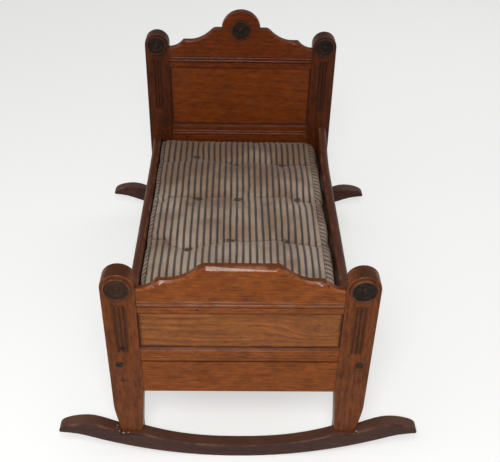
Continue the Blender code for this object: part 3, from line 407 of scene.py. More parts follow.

# grain: the axes that become along, aside and deep. wear: how strongly the arrises take the rubbed tone, partly worn
# varnish and partly painted highlight.
# hollows: the worked face's y, the middle and the half of |x| and z of the flutes or reeds in it,
# the depths over which they darken, partly with dirt and partly with painted shade, and its strength.
# nicks: x, z, radius and darkness of single dents. framed: a panel's middle z, half x and half z, for the painted
# shade along its frame.
# eye: x, z, half x, half z and rise of the bend that the rings make round a knot. up: how strongly faces that look up
# take the settled colour, partly dust and partly painted shade.
woodFinishes = {
    "postWood": {
        "grain": "zxy", "early": tone(114, 58, 19), "late": tone(60, 25, 9),
        "pitch": 0.0042, "aside": 0.075, "deep": 0.05, "tilt": 0.020, "wobble": 0.0016,
        "rings": 0.26, "streaks": 0.85, "pores": 0.55, "flecks": 2.1, "up": 0.92, "mottle": 0.55, "wear": 0.30,
        "gloss": 0.42, "coat": 0.10, "sheen": 0.10, "polish": 0.30,
        "hollows": (
            (-0.2579, 0.1257, 0.2052, 0.0070, 0.0342, 0.0001, 0.0008, 0.50),
            (-0.2579, 0.1257, 0.2052, 0.0074, 0.0350, -0.0006, -0.0002, 0.34),
        ),
        "nicks": (
            (-0.1296, 0.1277, 0.0041, 0.62), (-0.1262, 0.1775, 0.0046, 0.85),
            (-0.1335, 0.2020, 0.0009, 0.85), (0.1215, 0.1420, 0.0008, 0.85),
        ),
    },
    # Darker than the foot's finish: painted shade for the end farther from the lamps.
    "headPostWood": {
        "grain": "zxy", "early": tone(84, 38, 15), "late": tone(44, 19, 9),
        "pitch": 0.0050, "aside": 0.055, "deep": 0.06, "tilt": 0.030, "wobble": 0.0020,
        "rings": 0.28, "streaks": 0.75, "pores": 0.50, "flecks": 2.0, "up": 0.75, "mottle": 0.55, "wear": 0.25,
        "gloss": 0.44, "coat": 0.08, "sheen": 0.10, "polish": 0.20,
        "hollows": (
            (0.2411, 0.1257, 0.2443, 0.0070, 0.0417, 0.0001, 0.0008, 0.55),
            (0.2411, 0.1257, 0.2443, 0.0074, 0.0425, -0.0006, -0.0002, 0.25),
        ),
    },
    "footBoardWood": {
        "early": tone(137, 70, 18), "late": tone(80, 33, 8),
        "pitch": 0.0034, "aside": 0.11, "deep": 0.06, "tilt": 0.012, "wobble": 0.0022,
        "rings": 0.20, "streaks": 0.85, "pores": 0.50, "flecks": 2.3, "up": 0.80, "mottle": 0.34, "wear": 0.72,
        "gloss": 0.40, "coat": 0.12, "sheen": 0.12, "polish": 0.19,
        "hollows": (
            (-0.2559, 0.0, 0.2388, 0.1079, 0.0052, 0.0004, 0.0012, 0.46),
            (-0.2559, 0.0, 0.2268, 0.1079, 0.0011, -0.0006, -0.0002, 0.42),
            (-0.2559, 0.0, 0.1506, 0.1079, 0.0052, 0.0004, 0.0012, 0.12),
            (-0.2559, 0.0, 0.1740, 0.1079, 0.0022, 0.0001, 0.0010, 0.44),
        ),
        "nicks": (
            (-0.0452, 0.2321, 0.0019, 0.85), (-0.0192, 0.2597, 0.0013, 0.85),
            (0.0056, 0.1619, 0.0012, 0.85), (0.0610, 0.1290, 0.0009, 0.85),
        ),
    },
    # Darker than the foot's finish: painted shade for the end farther from the lamps.
    "headBoardWood": {
        "early": tone(106, 47, 14), "late": tone(62, 24, 8),
        "pitch": 0.0060, "aside": 0.09, "deep": 0.07, "tilt": 0.010, "wobble": 0.0018,
        "rings": 0.22, "streaks": 0.70, "pores": 0.40, "flecks": 2.3, "up": 0.80, "mottle": 0.30, "wear": 0.12,
        "gloss": 0.40, "coat": 0.12, "sheen": 0.13, "polish": 0.07,
        "hollows": (
            (0.2431, 0.0, 0.2854, 0.1079, 0.0052, 0.0004, 0.0012, 0.46),
            (0.2431, 0.0, 0.1506, 0.1079, 0.0052, 0.0004, 0.0012, 0.46),
            (0.2431, 0.0, 0.1740, 0.1079, 0.0022, 0.0001, 0.0010, 0.40),
        ),
        "nicks": ((0.0540, 0.2960, 0.0010, 0.85),),
    },
    # Flat-sawn, with a long flame and an eye towards its right end
    "footPanelWood": {
        "early": tone(146, 82, 25), "late": tone(86, 40, 10),
        "pitch": 0.0086, "aside": 0.1035, "deep": 0.03, "tilt": 0.016, "wobble": 0.0052,
        "rings": 0.42, "streaks": 1.2, "pores": 0.40, "flecks": 1.9, "up": 0.2, "mottle": 0.26,
        "gloss": 0.38, "coat": 0.18, "sheen": 0.18,
        "eye": (0.086, 0.1980, 0.026, 0.0090, 0.021), "framed": (0.2006, 0.1079, 0.0256),
        "nicks": ((0.0009, 0.1892, 0.0011, 0.85), (-0.0570, 0.2110, 0.0009, 0.85)),
    },
    # Darker than the foot's finish: painted shade for the end farther from the lamps.
    "headPanelWood": {
        "early": tone(118, 54, 13), "late": tone(78, 31, 8),
        "pitch": 0.0085, "aside": 0.02, "deep": 0.14, "tilt": 0.030, "wobble": 0.0022,
        "rings": 0.24, "streaks": 0.60, "pores": 0.35, "flecks": 2.2, "up": 0.30, "mottle": 0.24,
        "gloss": 0.38, "coat": 0.18, "sheen": 0.18, "framed": (0.2239, 0.1079, 0.0489),
    },
    "rockerWood": {
        "early": tone(66, 37, 29), "late": tone(40, 21, 17), "settledAndShaded": tone(122, 86, 66),
        "pitch": 0.0048, "aside": 0.10, "deep": 0.05, "tilt": 0.015, "wobble": 0.0022,
        "rings": 0.30, "streaks": 0.80, "pores": 0.50, "flecks": 1.2, "up": 0.34, "mottle": 0.20, "wear": 0.30,
        "gloss": 0.50, "coat": 0.08, "sheen": 0.14,
    },
    "railWood": {
        "grain": "yzx", "run": (1, 0, 0), "early": tone(84, 45, 29), "late": tone(46, 23, 15),
        "pitch": 0.0046, "aside": 0.08, "deep": 0.06, "tilt": 0.012, "wobble": 0.0018,
        "rings": 0.28, "streaks": 0.75, "pores": 0.50, "flecks": 1.2, "up": 0.10, "mottle": 0.40, "wear": 0.40,
        "gloss": 0.52, "coat": 0.05, "sheen": 0.12, "polish": 0.10,
    },
    "slatWood": {
        "grain": "xyz", "early": tone(176, 140, 96), "late": tone(132, 94, 58),
        "pitch": 0.0040, "aside": 0.05, "deep": 0.04, "tilt": 0.020, "wobble": 0.0016,
        "rings": 0.65, "streaks": 0.60, "pores": 0.30, "flecks": 0.6, "up": 0.15, "mottle": 0.35,
        "gloss": 0.72, "sheen": 0.30,
    },
    "ledgerWood": {
        "grain": "yzx", "early": tone(106, 76, 50), "late": tone(74, 50, 32),
        "pitch": 0.0036, "aside": 0.05, "deep": 0.04, "tilt": 0.015, "wobble": 0.0014,
        "rings": 0.60, "streaks": 0.60, "pores": 0.30, "flecks": 0.6, "up": 0.15, "mottle": 0.40,
        "gloss": 0.72, "sheen": 0.30,
    },
}

# The rails under the panels are duller.
for end, wear in (("foot", 0.12), ("head", 0.25)):
    board = woodFinishes[end + "BoardWood"]
    woodFinishes[end + "RailWood"] = {**board, "aside": 0.13, "coat": 0.08, "polish": 0.0, "wear": wear}


# The object's coordinates in the order of the grain
def grainVector(tree, look):
    parts = split(coords(tree)["Object"])
    axes = {axis: parts[name.upper()] for axis, name in zip("XYZ", look["grain"])}
    if "eye" in look:
        x, z, halfX, halfZ, rise = look["eye"]
        across, up = over(minus(parts["X"], x), halfX), over(minus(parts["Z"], z), halfZ)
        away = timesPlus(across, across, times(up, up))
        axes["Y"] = timesPlus(calc("EXPONENT", times(away, -0.5)), rise, axes["Y"])
    return put(tree, "ShaderNodeCombineXYZ", axes).outputs[0]


# A figured wood with its wear, grime, gloss and relief
def makeWood(name):
    look, wear = {**plainWood, **woodFinishes[name]}, wearSetup
    material, where, shader = newMaterial(name)
    tree = material.node_tree
    given = {label: look[key] for label, key in figureInputs.items()}
    figure = placeGroup(tree, woodFigure, {"Vector": grainVector(tree, look), **given})
    scuff = placeGroup(tree, scuffs, {})["Mask"]
    grimeAndShade = placeGroup(tree, settledDustAndShade, {"Up Strength": look["up"], "Mottle Strength": look["mottle"]})
    # Faces that look up take the settled colour: partly dust, partly painted shade.
    settledAndShaded, colour = grimeAndShade["Mask"], figure["Color"]
    colour = blendColour(settledAndShaded, colour, blendColour(wear["settledAndShadedShare"], colour, look["settledAndShaded"]))
    # Rubbed arrises turn lighter: partly wear, partly a painted highlight.
    if look["wear"]:
        rubbed = placeGroup(tree, arrisWearAndHighlight, {"Run": look["run"]})
        colour = blendColour(times(rubbed["Mask"], look["wear"]), colour, wear["rubbed"])
    colour = blendColour(times(scuff, wear["scuffShare"]), colour, wear["grimeAndShade"])
    # Dirt and painted shade in the hollows, and painted shade along a panel's frame.
    dirtAndShade = []
    for *sizes, strength in look["hollows"]:
        mask = placeGroup(tree, hollowDirtAndShade, dict(zip(hollowSizes, sizes)))["Mask"]
        dirtAndShade.append(times(mask, strength))
    if "framed" in look:
        sizes = dict(zip(frameSizes, (*look["framed"], wear["frameWidth"])))
        dirtAndShade.append(times(placeGroup(tree, frameShade, sizes)["Mask"], wear["frameShadeShare"]))
    for mask in dirtAndShade:
        colour = blendColour(mask, colour, wear["grimeAndShade"])
        settledAndShaded = largest(settledAndShaded, times(mask, wear["dirtAndShadeDull"], clamp=True))
    relief = timesPlus(scuff, wear["scuffHeight"], figure["Height"])
    for x, z, radius, darkness in look["nicks"]:
        mask = placeGroup(tree, nick, {"X": x, "Z": z, "Radius": radius})["Mask"]
        colour = blendColour(times(mask, darkness), colour, wear["nick"])
        relief = timesPlus(mask, wear["nickHeight"], relief)
    dull = timesPlus(settledAndShaded, wear["settledDull"], look["gloss"])
    dull = timesPlus(centred(grimeAndShade["Mottle"]), wear["mottleDull"], dull)
    dull = timesPlus(scuff, wear["scuffDull"], dull, clamp=True)
    if look["coat"]:
        coat = times(minus(1.0, settledAndShaded), look["coat"])
        if look["wear"]:
            coat = timesPlus(rubbed["Arris"], look["polish"], coat, clamp=True)
        fill(shader, {"Coat Weight": coat, "Coat Roughness": wear["coatRoughness"]})
    slow = bumped(noiseAt(where["Object"], wear["waveScale"], 1.0), *wear["wave"])
    quick = bumped(relief, *wear["bump"], slow)
    fill(shader, {"Base Color": colour, "Roughness": dull, "Specular IOR Level": look["sheen"], "Normal": quick})
    return material


woods = {name: makeWood(name) for name in woodFinishes}
print("wood finishes ready:", len(woods))


# Dark turned wood, iron, glue, cloth and thread.

# The head's rim is darker than the foot's: painted shade for the end farther from the lamps.
rimLook = {
    "foot": {"dark": tone(72, 39, 21), "light": tone(104, 63, 38)},
    "head": {"dark": tone(44, 26, 18), "light": tone(66, 38, 24)},
}


# The brown rim of a rosette, rubbed lighter in places
def makeRosetteRim(end):
    material, where, shader = newMaterial(end + "RosetteRim")
    rub = noiseAt(where["Object"], 130.0, 3.0, 0.6)
    fill(shader, {
        "Base Color": blendColour(smoothBand(rub, 0.40, 0.62), rimLook[end]["dark"], rimLook[end]["light"]),
        "Roughness": spread(rub, 0.6, 0.4),
        "Specular IOR Level": 0.22,
        "Normal": bumped(noiseAt(where["Object"], 800.0), 0.0002, 0.35),
    })
    return material


rosetteLook = {"dark": tone(28, 20, 16), "brown": tone(64, 40, 26), "worn": 0.55, "wornLeft": 0.50, "side": 0.45}


# Blackened turned wood, rubbed back to brown on the rings, and more so at the left of the foot
def makeRosetteWood():
    look = rosetteLook
    material, where, shader = newMaterial("rosetteWood")
    blotch = noiseAt(where["Object"], 160.0, 3.0, 0.6)
    rubbed = times(smoothBand(blotch, 0.45, 0.65), look["worn"])
    parts = split(where["Object"])
    left = times(calc("LESS_THAN", parts["X"], -0.05), calc("LESS_THAN", parts["Y"], 0.0))
    rubbed = timesPlus(left, look["wornLeft"], rubbed, clamp=True)
    side = fadeBand(sizeOf(split(where["Normal"])["Y"]), 0.35, 0.85)
    colour = blendColour(rubbed, look["dark"], look["brown"])
    fill(shader, {
        "Base Color": blendColour(times(side, look["side"]), colour, look["brown"]),
        "Roughness": spread(blotch, 0.42, 0.72),
        "Specular IOR Level": 0.14,
        "Normal": bumped(noiseAt(where["Object"], 900.0), 0.0002, 0.4),
    })
    return material


ironLook = {"bare": tone(58, 47, 36), "dark": tone(32, 25, 19), "rust": tone(60, 37, 24)}


def makeIron():
    material, where, shader = newMaterial("agedIron")
    blotch = noiseAt(where["Object"], 420.0, 4.0, 0.65)
    spots = noiseAt(where["Object"], 1300.0)
    colour = blendColour(smoothBand(blotch, 0.42, 0.62), ironLook["bare"], ironLook["dark"])
    fill(shader, {
        "Base Color": blendColour(smoothBand(spots, 0.56, 0.70), colour, ironLook["rust"]),
        "Metallic": spread(blotch, 0.95, 0.45),
        "Roughness": spread(blotch, 0.36, 0.66),
        "Normal": bumped(blotch, 0.0002, 0.5),
    })
    return material


tickingLook = {
    "pitch": 0.0088, "offset": 0.00475, "darkHalf": 0.188, "edge": 0.070, "pinHalf": 0.018, "pinAway": 0.245,
    "cream": tone(172, 153, 135), "tan": tone(134, 106, 84), "stripe": tone(34, 33, 35),
    "stain": tone(114, 80, 58), "soilAndShade": tone(44, 32, 26), "waver": 0.0011, "pin": 0.22, "faded": 0.72,
    "headTanAndShade": 0.85, "stained": 0.52, "weavePitch": 0.00055, "slant": 0.8, "twill": 0.05, "yarn": 0.35,
    "level": 0.97,
}


# Cotton ticking: dark stripes with a pin line at each side, a twill weave, and old stains
def makeTicking():
    look = tickingLook
    material, texture, shader = newMaterial("ticking")
    tree, where = material.node_tree, texture["Object"]
    cloth = put(tree, "ShaderNodeUVMap", uv_map="clothMap").outputs["UV"]
    parts = split(cloth)
    waver = centred(noiseAt(cloth, (60.0, 25.0, 1.0)))
    place = over(minus(timesPlus(waver, look["waver"], parts["X"]), look["offset"]), look["pitch"])
    away = sizeOf(centred(restOf(plus(place, 100.5))))
    bar = fadeBand(away, look["darkHalf"] - look["edge"], look["darkHalf"] + look["edge"])
    pin = fadeBand(sizeOf(minus(away, look["pinAway"])), 0.0, look["pinHalf"] * 2)
    stripe = largest(bar, times(pin, look["pin"]))
    stripe = times(stripe, spread(noiseAt(where, 34.0, 3.0, 0.6), 1.0, look["faded"]))
    # The ground turns tan in patches, and more so towards the head, where the tan is painted shade for the end farther
    # from the lamps.
    warmth = plus(noiseAt(where, 15.0, 3.0, 0.55), times(split(where)["Y"], look["headTanAndShade"]))
    ground = blendColour(smoothBand(warmth, 0.34, 0.70), look["cream"], look["tan"])
    blot = smoothBand(noiseAt(where, 30.0, 4.0, 0.62, 0.4), 0.52, 0.82)
    ground = blendColour(times(blot, look["stained"]), ground, look["stain"])
    colour = blendColour(stripe, ground, look["stripe"])
    # Darker in the creases, round the tufts and along the seams: partly soil, partly painted shade.
    soilAndShade = put(tree, "ShaderNodeAttribute", attribute_name="soilAndShade").outputs["Fac"]
    colour = blendColour(soilAndShade, colour, look["soilAndShade"])
    # Twill: fine lines that cross the stripes at a slant
    slant = plus(parts["X"], times(parts["Y"], look["slant"]))
    twill = calc("SINE", times(slant, 2 * math.pi / look["weavePitch"]))
    yarn = noiseAt(cloth, (2600.0, 500.0, 1.0), 2.0, 0.6)
    shade = plus(timesPlus(twill, look["twill"], times(centred(yarn), look["yarn"])), look["level"])
    grey = put(tree, "ShaderNodeCombineColor", {"Red": shade, "Green": shade, "Blue": shade}).outputs[0]
    fill(shader, {
        "Base Color": blendColour(1.0, colour, grey, "MULTIPLY"),
        "Roughness": 0.92,
        "Specular IOR Level": 0.25,
        "Sheen Weight": 0.12,
        "Normal": bumped(timesPlus(twill, 0.5, yarn), 0.00012, 0.6),
    })
    return material


threadLook = {"dark": tone(52, 38, 25), "light": tone(100, 76, 49)}


def makeThread():
    material, where, shader = newMaterial("tuftThread")
    strand = noiseAt(where["Object"], 1600.0)
    fill(shader, {
        "Base Color": blendColour(smoothBand(strand, 0.4, 0.7), threadLook["dark"], threadLook["light"]),
        "Roughness": spread(strand, 0.7, 0.95),
        "Normal": bumped(strand, 0.0003, 0.7),
    })
    return material


glueLook = {"pale": tone(186, 174, 156), "dark": tone(126, 112, 92)}


# Dried glue and filler, chalky and a little yellow
def makeGlue():
    material, where, shader = newMaterial("driedGlue")
    chalk = noiseAt(where["Object"], 700.0, 3.0)
    colour = blendColour(chalk, glueLook["pale"], glueLook["dark"])
    fill(shader, {"Base Color": colour, "Roughness": spread(chalk, 0.55, 0.85)})
    return material


# 1 where the ray comes from the camera, a mirror or a glass
def seenRay(tree):
    ray = put(tree, "ShaderNodeLightPath").outputs
    return largest(ray["Is Camera Ray"], largest(ray["Is Glossy Ray"], ray["Is Transmission Ray"]))


def makeFloor():
    material, where, shader = newMaterial("paleFloor")
    cloud = times(noiseAt(where["Object"], 2.0), 0.08)
    base = lampSetup["floorTone"]
    fill(shader, {
        "Base Color": blendColour(cloud, base, tuple(c * 0.9 for c in base)),
        "Roughness": 0.9,
        "Specular IOR Level": 0.1,
        "Emission Color": (1.0, 1.0, 0.985),
        "Emission Strength": times(seenRay(material.node_tree), lampSetup["floorGlow"]),
    })
    return material


rosetteWood, agedIron, ticking, tuftThread, driedGlue = (
    make() for make in (makeRosetteWood, makeIron, makeTicking, makeThread, makeGlue)
)
rosetteRims = {end: makeRosetteRim(end) for end in rimLook}


def addFloor():
    bm = bmesh.new()
    bmesh.ops.create_grid(bm, x_segments=2, y_segments=2, size=30)
    mesh = bpy.data.meshes.new("floor")
    bm.to_mesh(mesh)
    bm.free()
    mesh.materials.append(makeFloor())
    floor = addObject("floor", mesh)


def setWorld():
    world = bpy.data.worlds.new("room")
    scene.world = world
    world.use_nodes = True
    tree = world.node_tree
    tree.nodes.clear()
    level = spread(seenRay(tree), lampSetup["roomLevel"], lampSetup["backdropLevel"])
    light = put(tree, "ShaderNodeBackground", {"Color": (1.0, 1.0, 1.0), "Strength": level})
    put(tree, "ShaderNodeOutputWorld", {"Surface": light.outputs[0]})


addFloor()
setWorld()
print("floor and room ready")


# Mesh helpers.

def modify(piece, name, kind, **settings):
    setAll(piece.modifiers.new(name, kind), settings)


# Makes what the modifiers show the piece's own mesh
def takeShape(piece):
    mesh = bpy.data.meshes.new_from_object(piece.evaluated_get(bpy.context.evaluated_depsgraph_get()))
    piece.modifiers.clear()
    old = piece.data
    piece.data = mesh
    bpy.data.meshes.remove(old)
    mesh.name = piece.name


# Smooth but for edges sharper than the angle, in degrees
def shadeMesh(mesh, sharp):
    mesh.shade_smooth()
    if sharp:
        mesh.set_sharp_from_angle(angle=math.radians(sharp))


# A finished mesh piece that rides on a body
def newPiece(name, bm, material, sharp=38, body="bed"):
    mesh = bpy.data.meshes.new(name)
    bm.to_mesh(mesh)
    bm.free()
    mesh.materials.append(material)
    shadeMesh(mesh, sharp)
    piece = addObject(name, mesh)
    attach(piece, body)
    return piece


def ringAt(bm, centre, first, second, radius, sides, flatten=1.0):
    angles = (2 * math.pi * i / sides for i in range(sides))
    return [bm.verts.new(centre + (first * math.cos(a) + second * math.sin(a) * flatten) * radius) for a in angles]


# Turns (radius, height) shares of the size round an axis. A radius of zero is a pole.
def turnedPiece(bm, profile, size, place, axis, sides):
    axis = Vector(axis).normalized()
    first = axis.orthogonal().normalized()
    second = axis.cross(first)
    rings, made = [], []
    for radius, height in profile:
        centre = place + axis * (height * size[1])
        ring = ringAt(bm, centre, first, second, radius * size[0], sides) if radius else [bm.verts.new(centre)]
        rings.append(ring)
    for lower, upper in zip(rings, rings[1:]):
        for i in range(sides):
            corners = (ring[k % len(ring)] for ring, k in ((lower, i), (lower, i + 1), (upper, i + 1), (upper, i)))
            made.append(bm.faces.new(list(dict.fromkeys(corners))))
    bmesh.ops.recalc_face_normals(bm, faces=made)
    return made


def noiseOf(x, y, z):
    return noise.noise(Vector((x, y, z)))


def surfaceOf(piece):
    return BVHTree.FromPolygons([v.co for v in piece.data.vertices], [p.vertices for p in piece.data.polygons])


# Where a plumb line at x and y first meets a surface, and the surface's normal there
def dropOn(surface, x, y, top=0.3):
    return surface.ray_cast(Vector((x, y, top)), Vector((0, 0, -1)))[:2]


# The ends, the rails and the slats.

boardSetup = {"arris": 0.0004, "easedFrom": 50, "flatWithin": 0.4, "weld": 2e-6}


# A board as the frame has it, with its facets welded and shaded as one worked surface, and eased edges
def fineCopy(name, material):
    setup = boardSetup
    bm = bmesh.new()
    bm.from_mesh(nodes[name].data)
    for layer in list(bm.loops.layers.float_vector):
        bm.loops.layers.float_vector.remove(layer)
    bmesh.ops.remove_doubles(bm, verts=bm.verts, dist=setup["weld"])
    bmesh.ops.dissolve_limit(bm, angle_limit=math.radians(setup["flatWithin"]), verts=bm.verts, edges=bm.edges)
    for face in bm.faces:
        face.material_index = 0
    piece = newPiece(name + "_fine", bm, material)
    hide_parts(name)
    eased = {"limit_method": "ANGLE", "angle_limit": math.radians(setup["easedFrom"])}
    modify(piece, "easedArris", "BEVEL", width=setup["arris"], segments=2, **eased)
    modify(piece, "evenShade", "WEIGHTED_NORMAL", keep_sharp=True)


for end, postWood in (("foot", "postWood"), ("head", "headPostWood")):
    fineCopy(f"{end}_crest_rail", woods[end + "BoardWood"])
    fineCopy(f"{end}_lower_rail", woods[end + "RailWood"])
    fineCopy(f"{end}_panel", woods[end + "PanelWood"])
    fineCopy(f"{end}_rocker", woods["rockerWood"])
    for side in ("left", "right"):
        fineCopy(f"{end}_post_{side}", woods[postWood])
for side in ("left", "right"):
    fineCopy(f"side_rail_{side}", woods["railWood"])
for name, node in nodes.items():
    if name.startswith("slat_ledger"):
        node.material_slots[0].material = woods["ledgerWood"]
    elif name.startswith(("slat_nail", "ledger_nail")):
        node.material_slots[0].material = agedIron
    elif name.startswith("slat_"):
        node.material_slots[0].material = woods["slatWood"]
print("boards ready")


# The turned rosettes, of blackened wood with a brown rim.

rosetteSetup = {
    "radius": 0.0146,
    "height": 0.0030,
    "sides": 72,
    "rimShare": 0.885,  # outside this share of the radius the wood is brown
    "outOfRound": 0.012,
    "knocked": 0.00014,  # how far the edge is knocked back
    "dentPitch": 120,
    # Radius and height, as shares, from the face outwards
    "profile": (
        (0.99, 0.0), (1.0, 0.10), (1.0, 0.34), (0.99, 0.58), (0.97, 0.76), (0.945, 0.88), (0.92, 0.92), (0.90, 0.90),
        (0.875, 0.80), (0.855, 0.58), (0.84, 0.44), (0.81, 0.40), (0.76, 0.385), (0.69, 0.38), (0.665, 0.42),
        (0.645, 0.56), (0.625, 0.63), (0.595, 0.655), (0.565, 0.62), (0.545, 0.50), (0.525, 0.40), (0.50, 0.36),
        (0.42, 0.35), (0.30, 0.34), (0.255, 0.36), (0.225, 0.52), (0.205, 0.70), (0.17, 0.87), (0.12, 0.96),
        (0.06, 0.99), (0.0, 1.0),
    ),
}


def makeRosette(name, seed):
    setup = rosetteSetup
    low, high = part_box(name)
    place = Vector(((low.x + high.x) / 2, low.y + setup["height"], (low.z + high.z) / 2))
    bm = bmesh.new()
    size = (setup["radius"], setup["height"])
    for face in turnedPiece(bm, setup["profile"], size, place, (0, -1, 0), setup["sides"]):
        middle = face.calc_center_median() - place
        if math.hypot(middle.x, middle.z) > setup["rimShare"] * setup["radius"]:
            face.material_index = 1
    for vert in bm.verts:
        away = vert.co - place
        dent = 0.5 + 0.5 * noiseOf(vert.co.x * setup["dentPitch"] + seed, vert.co.z * setup["dentPitch"], seed * 1.7)
        vert.co -= Vector((away.x, 0, away.z)) * setup["outOfRound"] * dent
        if away.y < -0.0005:
            vert.co.y += setup["knocked"] * dent
    piece = newPiece(name + "_fine", bm, rosetteWood, 50)
    piece.data.materials.append(rosetteRims[name[:4]])
    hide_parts(name)


# Slotted screws with domed heads.

screwSetup = {
    "headRadius": 0.0043,
    "headHeight": 0.0015,
    "shankRadius": 0.0019,
    "pointRadius": 0.0004,
    "pointLength": 0.003,
    "slotWidth": 0.0010,
    "slotDepth": 0.0008,
    "headSides": 40,
    "shankSides": 16,
    "sharp": 40,
    "profile": (
        (0.0, 0.0), (0.97, 0.0), (1.0, 0.12), (1.0, 0.26), (0.965, 0.46), (0.90, 0.62), (0.79, 0.77), (0.64, 0.88),
        (0.44, 0.96), (0.22, 0.99), (0.0, 1.0),
    ),
    # Which way the head looks along Y, and how far its slot has turned, in degrees
    "heads": {
        "bed_screw_foot_left": (-1, 24), "bed_screw_foot_right": (-1, 2),
        "bed_screw_head_left": (1, 71), "bed_screw_head_right": (1, 38),
        "rocker_screw_foot_left": (1, 12), "rocker_screw_foot_right": (1, 84),
        "rocker_screw_head_left": (1, 55), "rocker_screw_head_right": (1, 160),
    },
}


def makeScrew(name, outward, turn):
    setup = screwSetup
    low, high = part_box(name)
    tip, top = (high.y, low.y) if outward < 0 else (low.y, high.y)
    base = Vector(((low.x + high.x) / 2, top - outward * setup["headHeight"], (low.z + high.z) / 2))
    bm = bmesh.new()
    size = (setup["headRadius"], setup["headHeight"])
    turnedPiece(bm, setup["profile"], size, base, (0, outward, 0), setup["headSides"])
    piece = newPiece(name + "_fine", bm, agedIron, setup["sharp"])
    cutter = bmesh.new()
    bmesh.ops.create_cube(cutter, size=1.0)
    room = Vector((4 * setup["headRadius"], setup["slotDepth"] * 2, setup["slotWidth"]))
    spot = base + Vector((0, outward * setup["headHeight"], 0))
    bmesh.ops.scale(cutter, vec=room, verts=cutter.verts)
    cutter.transform(Matrix.Translation(spot) @ Matrix.Rotation(math.radians(turn), 4, "Y"))
    blade = bpy.data.meshes.new("slotCutter")
    cutter.to_mesh(blade)
    cutter.free()
    bladeObject = addObject("slotCutter", blade)
    modify(piece, "slot", "BOOLEAN", operation="DIFFERENCE", solver="EXACT", object=bladeObject)
    takeShape(piece)
    bpy.data.objects.remove(bladeObject)
    bpy.data.meshes.remove(blade)
    bm = bmesh.new()
    bm.from_mesh(piece.data)
    radius, reach = setup["shankRadius"], abs(base.y - tip)
    shank = ((radius, 0.0), (radius, reach - setup["pointLength"]), (setup["pointRadius"], reach))
    turnedPiece(bm, shank, (1.0, 1.0), base, (0, -outward, 0), setup["shankSides"])
    bm.to_mesh(piece.data)
    bm.free()
    shadeMesh(piece.data, setup["sharp"])
    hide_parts(name)


# Flecks of dried glue where the posts of the foot stand on their rocker.

fleckSetup = {
    "places": (  # x, y and radius
        (-0.1425, -0.2540, 0.0010), (-0.1358, -0.2606, 0.0011), (-0.1345, -0.2611, 0.0006), (-0.1296, -0.2601, 0.0009),
        (-0.1394, -0.2612, 0.0007), (-0.1436, -0.2575, 0.0006), (0.1388, -0.2600, 0.0012), (0.1362, -0.2611, 0.0005),
    ),
    "profile": ((1.0, -0.5), (0.9, 0.5), (0.5, 0.9), (0.0, 1.0)),
    "thickness": 0.25,  # share of the radius
    "sides": 14,
    "ragged": 0.8,
    "raggedPitch": 700,
}


def makeFlecks():
    setup = fleckSetup
    rocker = surfaceOf(nodes["foot_rocker"])
    bm = bmesh.new()
    for number, (x, y, radius) in enumerate(setup["places"]):
        spot, normal = dropOn(rocker, x, y)
        before = set(bm.verts)
        turnedPiece(bm, setup["profile"], (radius, radius * setup["thickness"]), spot, normal, setup["sides"])
        for vert in set(bm.verts) - before:
            shift = noise.noise(vert.co * setup["raggedPitch"] + Vector((number * 7.3, 0, 0)))
            vert.co += (vert.co - spot) * setup["ragged"] * shift
    newPiece("glue_flecks", bm, driedGlue, 60)


for number, name in enumerate(sorted(name for name in nodes if "rosette" in name)):
    makeRosette(name, 3.1 * number + 0.7)
for name, (outward, turn) in screwSetup["heads"].items():
    makeScrew(name, outward, turn)
makeFlecks()
print("rosettes, screws and glue flecks ready")


# The mattress. Its cover starts a little flat and Blender's cloth swells it.

mattressSetup = {
    "halfX": 0.1245,
    "foot": -0.2356,
    "head": 0.2390,
    "bottom": 0.1226,
    "seamRise": 0.0232,  # the seam above the underside
    "crown": 0.0030,
    "seamInset": (0.0050, 0.0148),  # at the left, and at the right, where the cover has rolled in
    "corner": 0.0100,
    "leftRise": 0.0024,  # the cover stands higher at the left rail
    "headRise": 0.0022,
    "seamHold": 0.30,
    "cellsAcross": 56,
    "cellsAlong": 106,
    # Inset at the left and at the right, and height, as shares
    "sideRings": (
        (0.06, 0.54, 0.88), (-0.14, 0.27, 0.65), (-0.12, 0.20, 0.38), (0.20, 0.32, 0.14), (0.62, 0.64, 0.0),
    ),
    "tuftDrop": 0.0036,
    "tuftWidth": 0.0080,
    "tuftReach": 0.0036,  # how far round a tuft the cloth is held
    "rowDrop": 0.0023,
    "rowWidth": 0.0066,
    "rowReach": 0.0026,
    "rowEnd": 0.106,
    "rowHold": 0.045,
    "frames": 20,
    "cap": 0.0052,  # the most that the stuffing moves a point
    # The room between the rails and the two ends and over the slats, and the width over which it is eased
    "sideRoom": 0.1254,
    "footRoom": -0.2373,
    "headRoom": 0.2402,
    "bottomRoom": 0.12235,
    "roomSoft": 0.0012,
    "fill": 0.6,
}

clothSetup = {
    "quality": 6,
    "mass": 0.12,
    "tension_stiffness": 18,
    "compression_stiffness": 18,
    "shear_stiffness": 4,
    "bending_stiffness": 0.25,
    "use_pressure": True,
    "uniform_pressure_force": 4.0,
    "shrink_min": -0.030,
    "vertex_group_mass": "hold",
}

middleY = (mattressSetup["foot"] + mattressSetup["head"]) / 2
tuftPlaces = (
    (-0.0656, -0.1243), (-0.0059, -0.1271), (0.0633, -0.1225),
    (-0.0681, -0.0434), (-0.0121, -0.0243), (0.0630, -0.0236),
    (-0.0587, 0.0751), (-0.0030, 0.0746), (0.0837, 0.0753),
    (-0.0663, 0.1914), (-0.0039, 0.1703), (0.0653, 0.1732),
)
wornTuft = 10  # only the knot of this one is left

